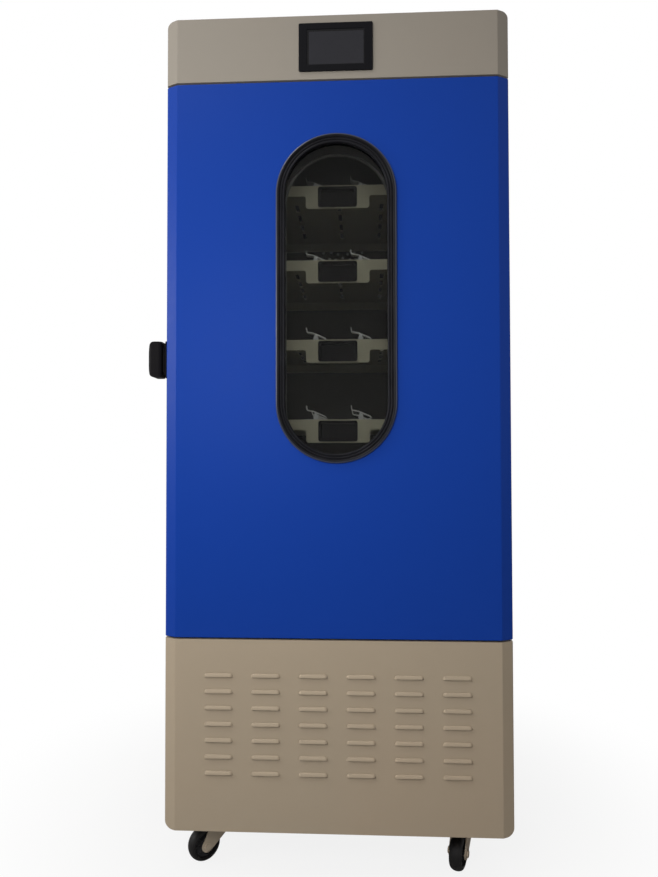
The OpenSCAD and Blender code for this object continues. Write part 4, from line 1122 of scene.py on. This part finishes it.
def lever_strip():
    """Side view of a lever's bent strip."""
    middle = filleted(LEVER, LEVER_BENDS, 4, closed=False)
    over, under = [], []
    for i, p in enumerate(middle):
        d = (middle[min(i + 1, len(middle) - 1)] - middle[max(i - 1, 0)]).normalized()
        out = Vector((-d.y, d.x)) * LEVER_GAUGE / 2
        over.append(p + out)
        under.append(p - out)
    return over + under[::-1]


class CHAMBER_OT_fit_clips(bpy.types.Operator):
    """Bends the clips' levers, winds their springs and stamps their bases."""
    bl_idname = "chamber.fit_clips"
    bl_label = "Fit the clips"

    def execute(self, context):
        strip = lever_strip()
        wound = bmesh.new()
        for name, x, deck, rows in clip_spots():
            bm = bmesh.new()
            cheek = filleted([(x + a * MM, deck + b * MM) for a, b in CHEEK], 1.2 * MM, 3)
            for y in rows:
                part = bmesh.new()
                blade = [(x + p.x * MM, deck + p.y * MM) for p in strip]
                prism(part, blade, on_front, y - LEVER_HALF, y + LEVER_HALF)
                for side in (-1, 1):
                    prism(part, cheek, on_front, *sorted((y + side * CHEEK_IN, y + side * CHEEK_OUT)))
                round_edges(part, 0.3 * MM, 2, 40)
                bm.from_mesh(mesh_of(part, "part"))

                foot, arm = [(x + a * MM, y + b * MM, deck + c * MM) for a, b, c in SPRING_ENDS]
                coil = [foot]
                count = COIL_TURNS * COIL_STEPS
                for k in range(int(count) + 1):
                    t = math.tau * k / COIL_STEPS + math.pi
                    coil.append((x + COIL_R * MM * math.cos(t), y + (2 * k / count - 1) * COIL_HALF * MM,
                                 deck + (PIN_HEIGHT + COIL_R * math.sin(t)) * MM))
                tube(wound, coil + [arm], WIRE_R, 6)
            piece("clip_lever_" + name, bm, "clip_zinc", "levers_" + name,
                  ("clip_levers_" + name,), sharp=35)
        piece("clip_springs", wound, "spring_steel", "cabinet", sharp=60)
        dress("zinc", "clip_bases")
        return {"FINISHED"}


# Condenser fan: section of its hub in millimetres, and place of its axis
FAN_HUB = [(4.1, 0.0), (21.0, 0.0), (22.0, 1.0), (22.0, 17.5), (20.5, 19.6), (12.0, 20.0), (9.0, 18.5),
           (4.1, 18.5)]
FAN_X = 0.150
FAN_RISE = 0.150

# Its blades: root, span, gauge and least chord in millimetres, angles in degrees, and steps each way
BLADES = 5
BLADE_STEPS = 8
BLADE_START = 8
BLADE_ROOT = 20.5
BLADE_SPAN = 61.0
BLADE_GAUGE = 1.6
BLADE_PLACE = 9.5
BLADE_CHORD = 24
BLADE_SWELL = 22
BLADE_PITCH = 44
BLADE_TWIST = 22
BLADE_BOW = 0.22
BLADE_SWEEP = 0.16


def fan_blade(bm, cx, y0, cz, base):
    """One twisted blade that starts in the hub at an angle."""
    n = BLADE_STEPS
    sides = []
    for back in (0.0, BLADE_GAUGE * MM):
        rows = []
        for k in range(n + 1):
            s = k / n
            r = (BLADE_ROOT + BLADE_SPAN * s) * MM
            pitch = math.radians(BLADE_PITCH - BLADE_TWIST * s)
            chord = (BLADE_CHORD + BLADE_SWELL * math.sin(math.pi * min(s + 0.12, 1.0) * 0.62)) * MM
            row = []
            for m in range(n + 1):
                u = m / n - 0.5
                bow = (0.25 - u * u) * BLADE_BOW * chord
                deep = u * chord * math.sin(pitch) * 0.62 + bow
                turn = base + u * chord * math.cos(pitch) / r * 0.9 + BLADE_SWEEP * s
                y = y0 + BLADE_PLACE * MM + deep * 0.55 + back
                row.append((cx + r * math.cos(turn), y, cz + r * math.sin(turn)))
            rows.append(row)
        sides.append(skin(bm, rows, closed=False))
    around = [(0, m) for m in range(n + 1)] + [(k, n) for k in range(1, n + 1)]
    around += [(n, m) for m in range(n - 1, -1, -1)] + [(k, 0) for k in range(n - 1, -1, -1)]
    front, rear = sides
    for (a, b), (c, d) in zip(around, around[1:]):
        bm.faces.new((front[a][b], front[c][d], rear[c][d], rear[a][b]))


class CHAMBER_OT_build_plant(bpy.types.Operator):
    """Finishes the refrigeration, the heater, the fans and the controller's box."""
    bl_idname = "chamber.build_plant"
    bl_label = "Build the plant"

    def execute(self, context):
        dress("motor_cast", "fan_motor")
        dress("heater_sheath", "heater")
        dress("evaporator", "evaporator")
        dress("condenser", "condenser")
        dress("pot_coat", "compressor")
        dress("box_coat", "controller_box")
        dress("fan_alloy", "circulation_fan")
        y0 = box("condenser_fan")[0].y
        cz = box("base_fascia")[0].z + FAN_RISE
        bm = bmesh.new()
        lathe(bm, FAN_HUB, 36, (FAN_X, y0, cz), upright=False)
        for b in range(BLADES):
            fan_blade(bm, FAN_X, y0, cz, math.radians(360 / BLADES * b + BLADE_START))
        piece("condenser_fan_blades", bm, "fan_plastic", "condenser_fan",
              ("condenser_fan",), sharp=40)
        return {"FINISHED"}


# Half sections of a wheel in millimetres: radius, and place along the axle
TREAD = [(24.5 + 7 * math.cos(math.radians(t)), 12 * math.sin(math.radians(t))) for t in range(-90, 91, 10)]
TREAD += [(23.4, 12.0), (22.6, 11.2), (22.0, 7.2), (21.2, 7.0), (21.2, -7.0), (22.0, -7.2), (22.6, -11.2),
          (23.4, -12.0)]
HUB = [(4.3, -13.0), (8.4, -13.0), (9.0, -12.4), (9.4, -3.4), (20.2, -3.2), (20.6, -6.6), (21.6, -7.0),
       (21.6, 7.0), (20.6, 6.6), (20.2, 3.2), (9.4, 3.4), (9.0, 12.4), (8.4, 13.0), (4.3, 13.0)]
RIB = [(8.8, -1.0), (21.0, -0.8), (21.0, 0.8), (8.8, 1.0)]
RIBS = 8
RIB_HALF = 6.0 * MM


class CHAMBER_OT_mount_casters(bpy.types.Operator):
    """Presses the casters' forks and moulds their wheels."""
    bl_idname = "chamber.mount_casters"
    bl_label = "Mount the casters"

    def execute(self, context):
        for where in ("front_left", "front_right", "rear_left", "rear_right"):
            softened(f"caster_fork_{where}", "fork_coat", f"caster_{where}", 0.6 * MM, 2)
            roll = next(joint for joint in frame["joints"] if joint["name"] == "roll_" + where)
            turn = Vector((0, 0, 1)).rotation_difference(Vector(roll["axis"])).to_matrix().to_4x4()
            axle = Matrix.Translation(roll["pos_m"]) @ turn
            wheel = "wheel_" + where
            tread = bmesh.new()
            lathe(tread, TREAD, 64)
            bmesh.ops.transform(tread, matrix=axle, verts=tread.verts)
            piece("caster_tyre_" + where, tread, "tyre", wheel, ("caster_" + wheel,), sharp=40)
            hub = bmesh.new()
            lathe(hub, HUB, 48)
            for k in range(RIBS):
                t = math.tau * k / RIBS
                c, n = math.cos(t) * MM, math.sin(t) * MM
                prism(hub, [(a * c - b * n, a * n + b * c) for a, b in RIB], on_plan, -RIB_HALF, RIB_HALF)
            bmesh.ops.transform(hub, matrix=axle, verts=hub.verts)
            piece("caster_hub_" + where, hub, "hub_plastic", wheel, sharp=40)
        return {"FINISHED"}


PIECES = (CHAMBER_OT_stage, CHAMBER_OT_coat_sheets, CHAMBER_OT_fold_base, CHAMBER_OT_fit_window,
          CHAMBER_OT_fit_display, CHAMBER_OT_mould_latch, CHAMBER_OT_line_chamber, CHAMBER_OT_place_trays,
          CHAMBER_OT_fit_clips, CHAMBER_OT_build_plant, CHAMBER_OT_mount_casters)


class CHAMBER_PT_pieces(bpy.types.Panel):
    """Lists the chamber's sizes, colours and pieces."""
    bl_idname = "CHAMBER_PT_pieces"
    bl_label = "Chamber"
    bl_space_type = "VIEW_3D"
    bl_region_type = "UI"
    bl_category = "Chamber"

    def draw(self, context):
        layout = self.layout
        for group in (context.scene.chamber_sizes, context.scene.chamber_colours):
            column = layout.column(align=True)
            for key in group.__annotations__:
                column.prop(group, key)
        column = layout.column()
        for operator in PIECES:
            column.operator(operator.bl_idname)


CLASSES = (ChamberSizes, ChamberColours, *PIECES, CHAMBER_PT_pieces)


def register():
    """Makes the chamber's sizes, colours, operators and panel known to Blender."""
    for cls in CLASSES:
        bpy.utils.register_class(cls)
    bpy.types.Scene.chamber_sizes = PointerProperty(type=ChamberSizes)
    bpy.types.Scene.chamber_colours = PointerProperty(type=ChamberColours)


def unregister():
    """Takes them away again."""
    del bpy.types.Scene.chamber_colours
    del bpy.types.Scene.chamber_sizes
    for cls in reversed(CLASSES):
        bpy.utils.unregister_class(cls)


def main():
    """Makes every piece in order, and stops where one doesn't finish."""
    register()
    for operator in PIECES:
        family, name = operator.bl_idname.split(".")
        result = getattr(getattr(bpy.ops, family), name)()
        if result != {"FINISHED"}:
            raise RuntimeError(f"{operator.bl_label} didn't finish")


if __name__ == "__main__":
    main()
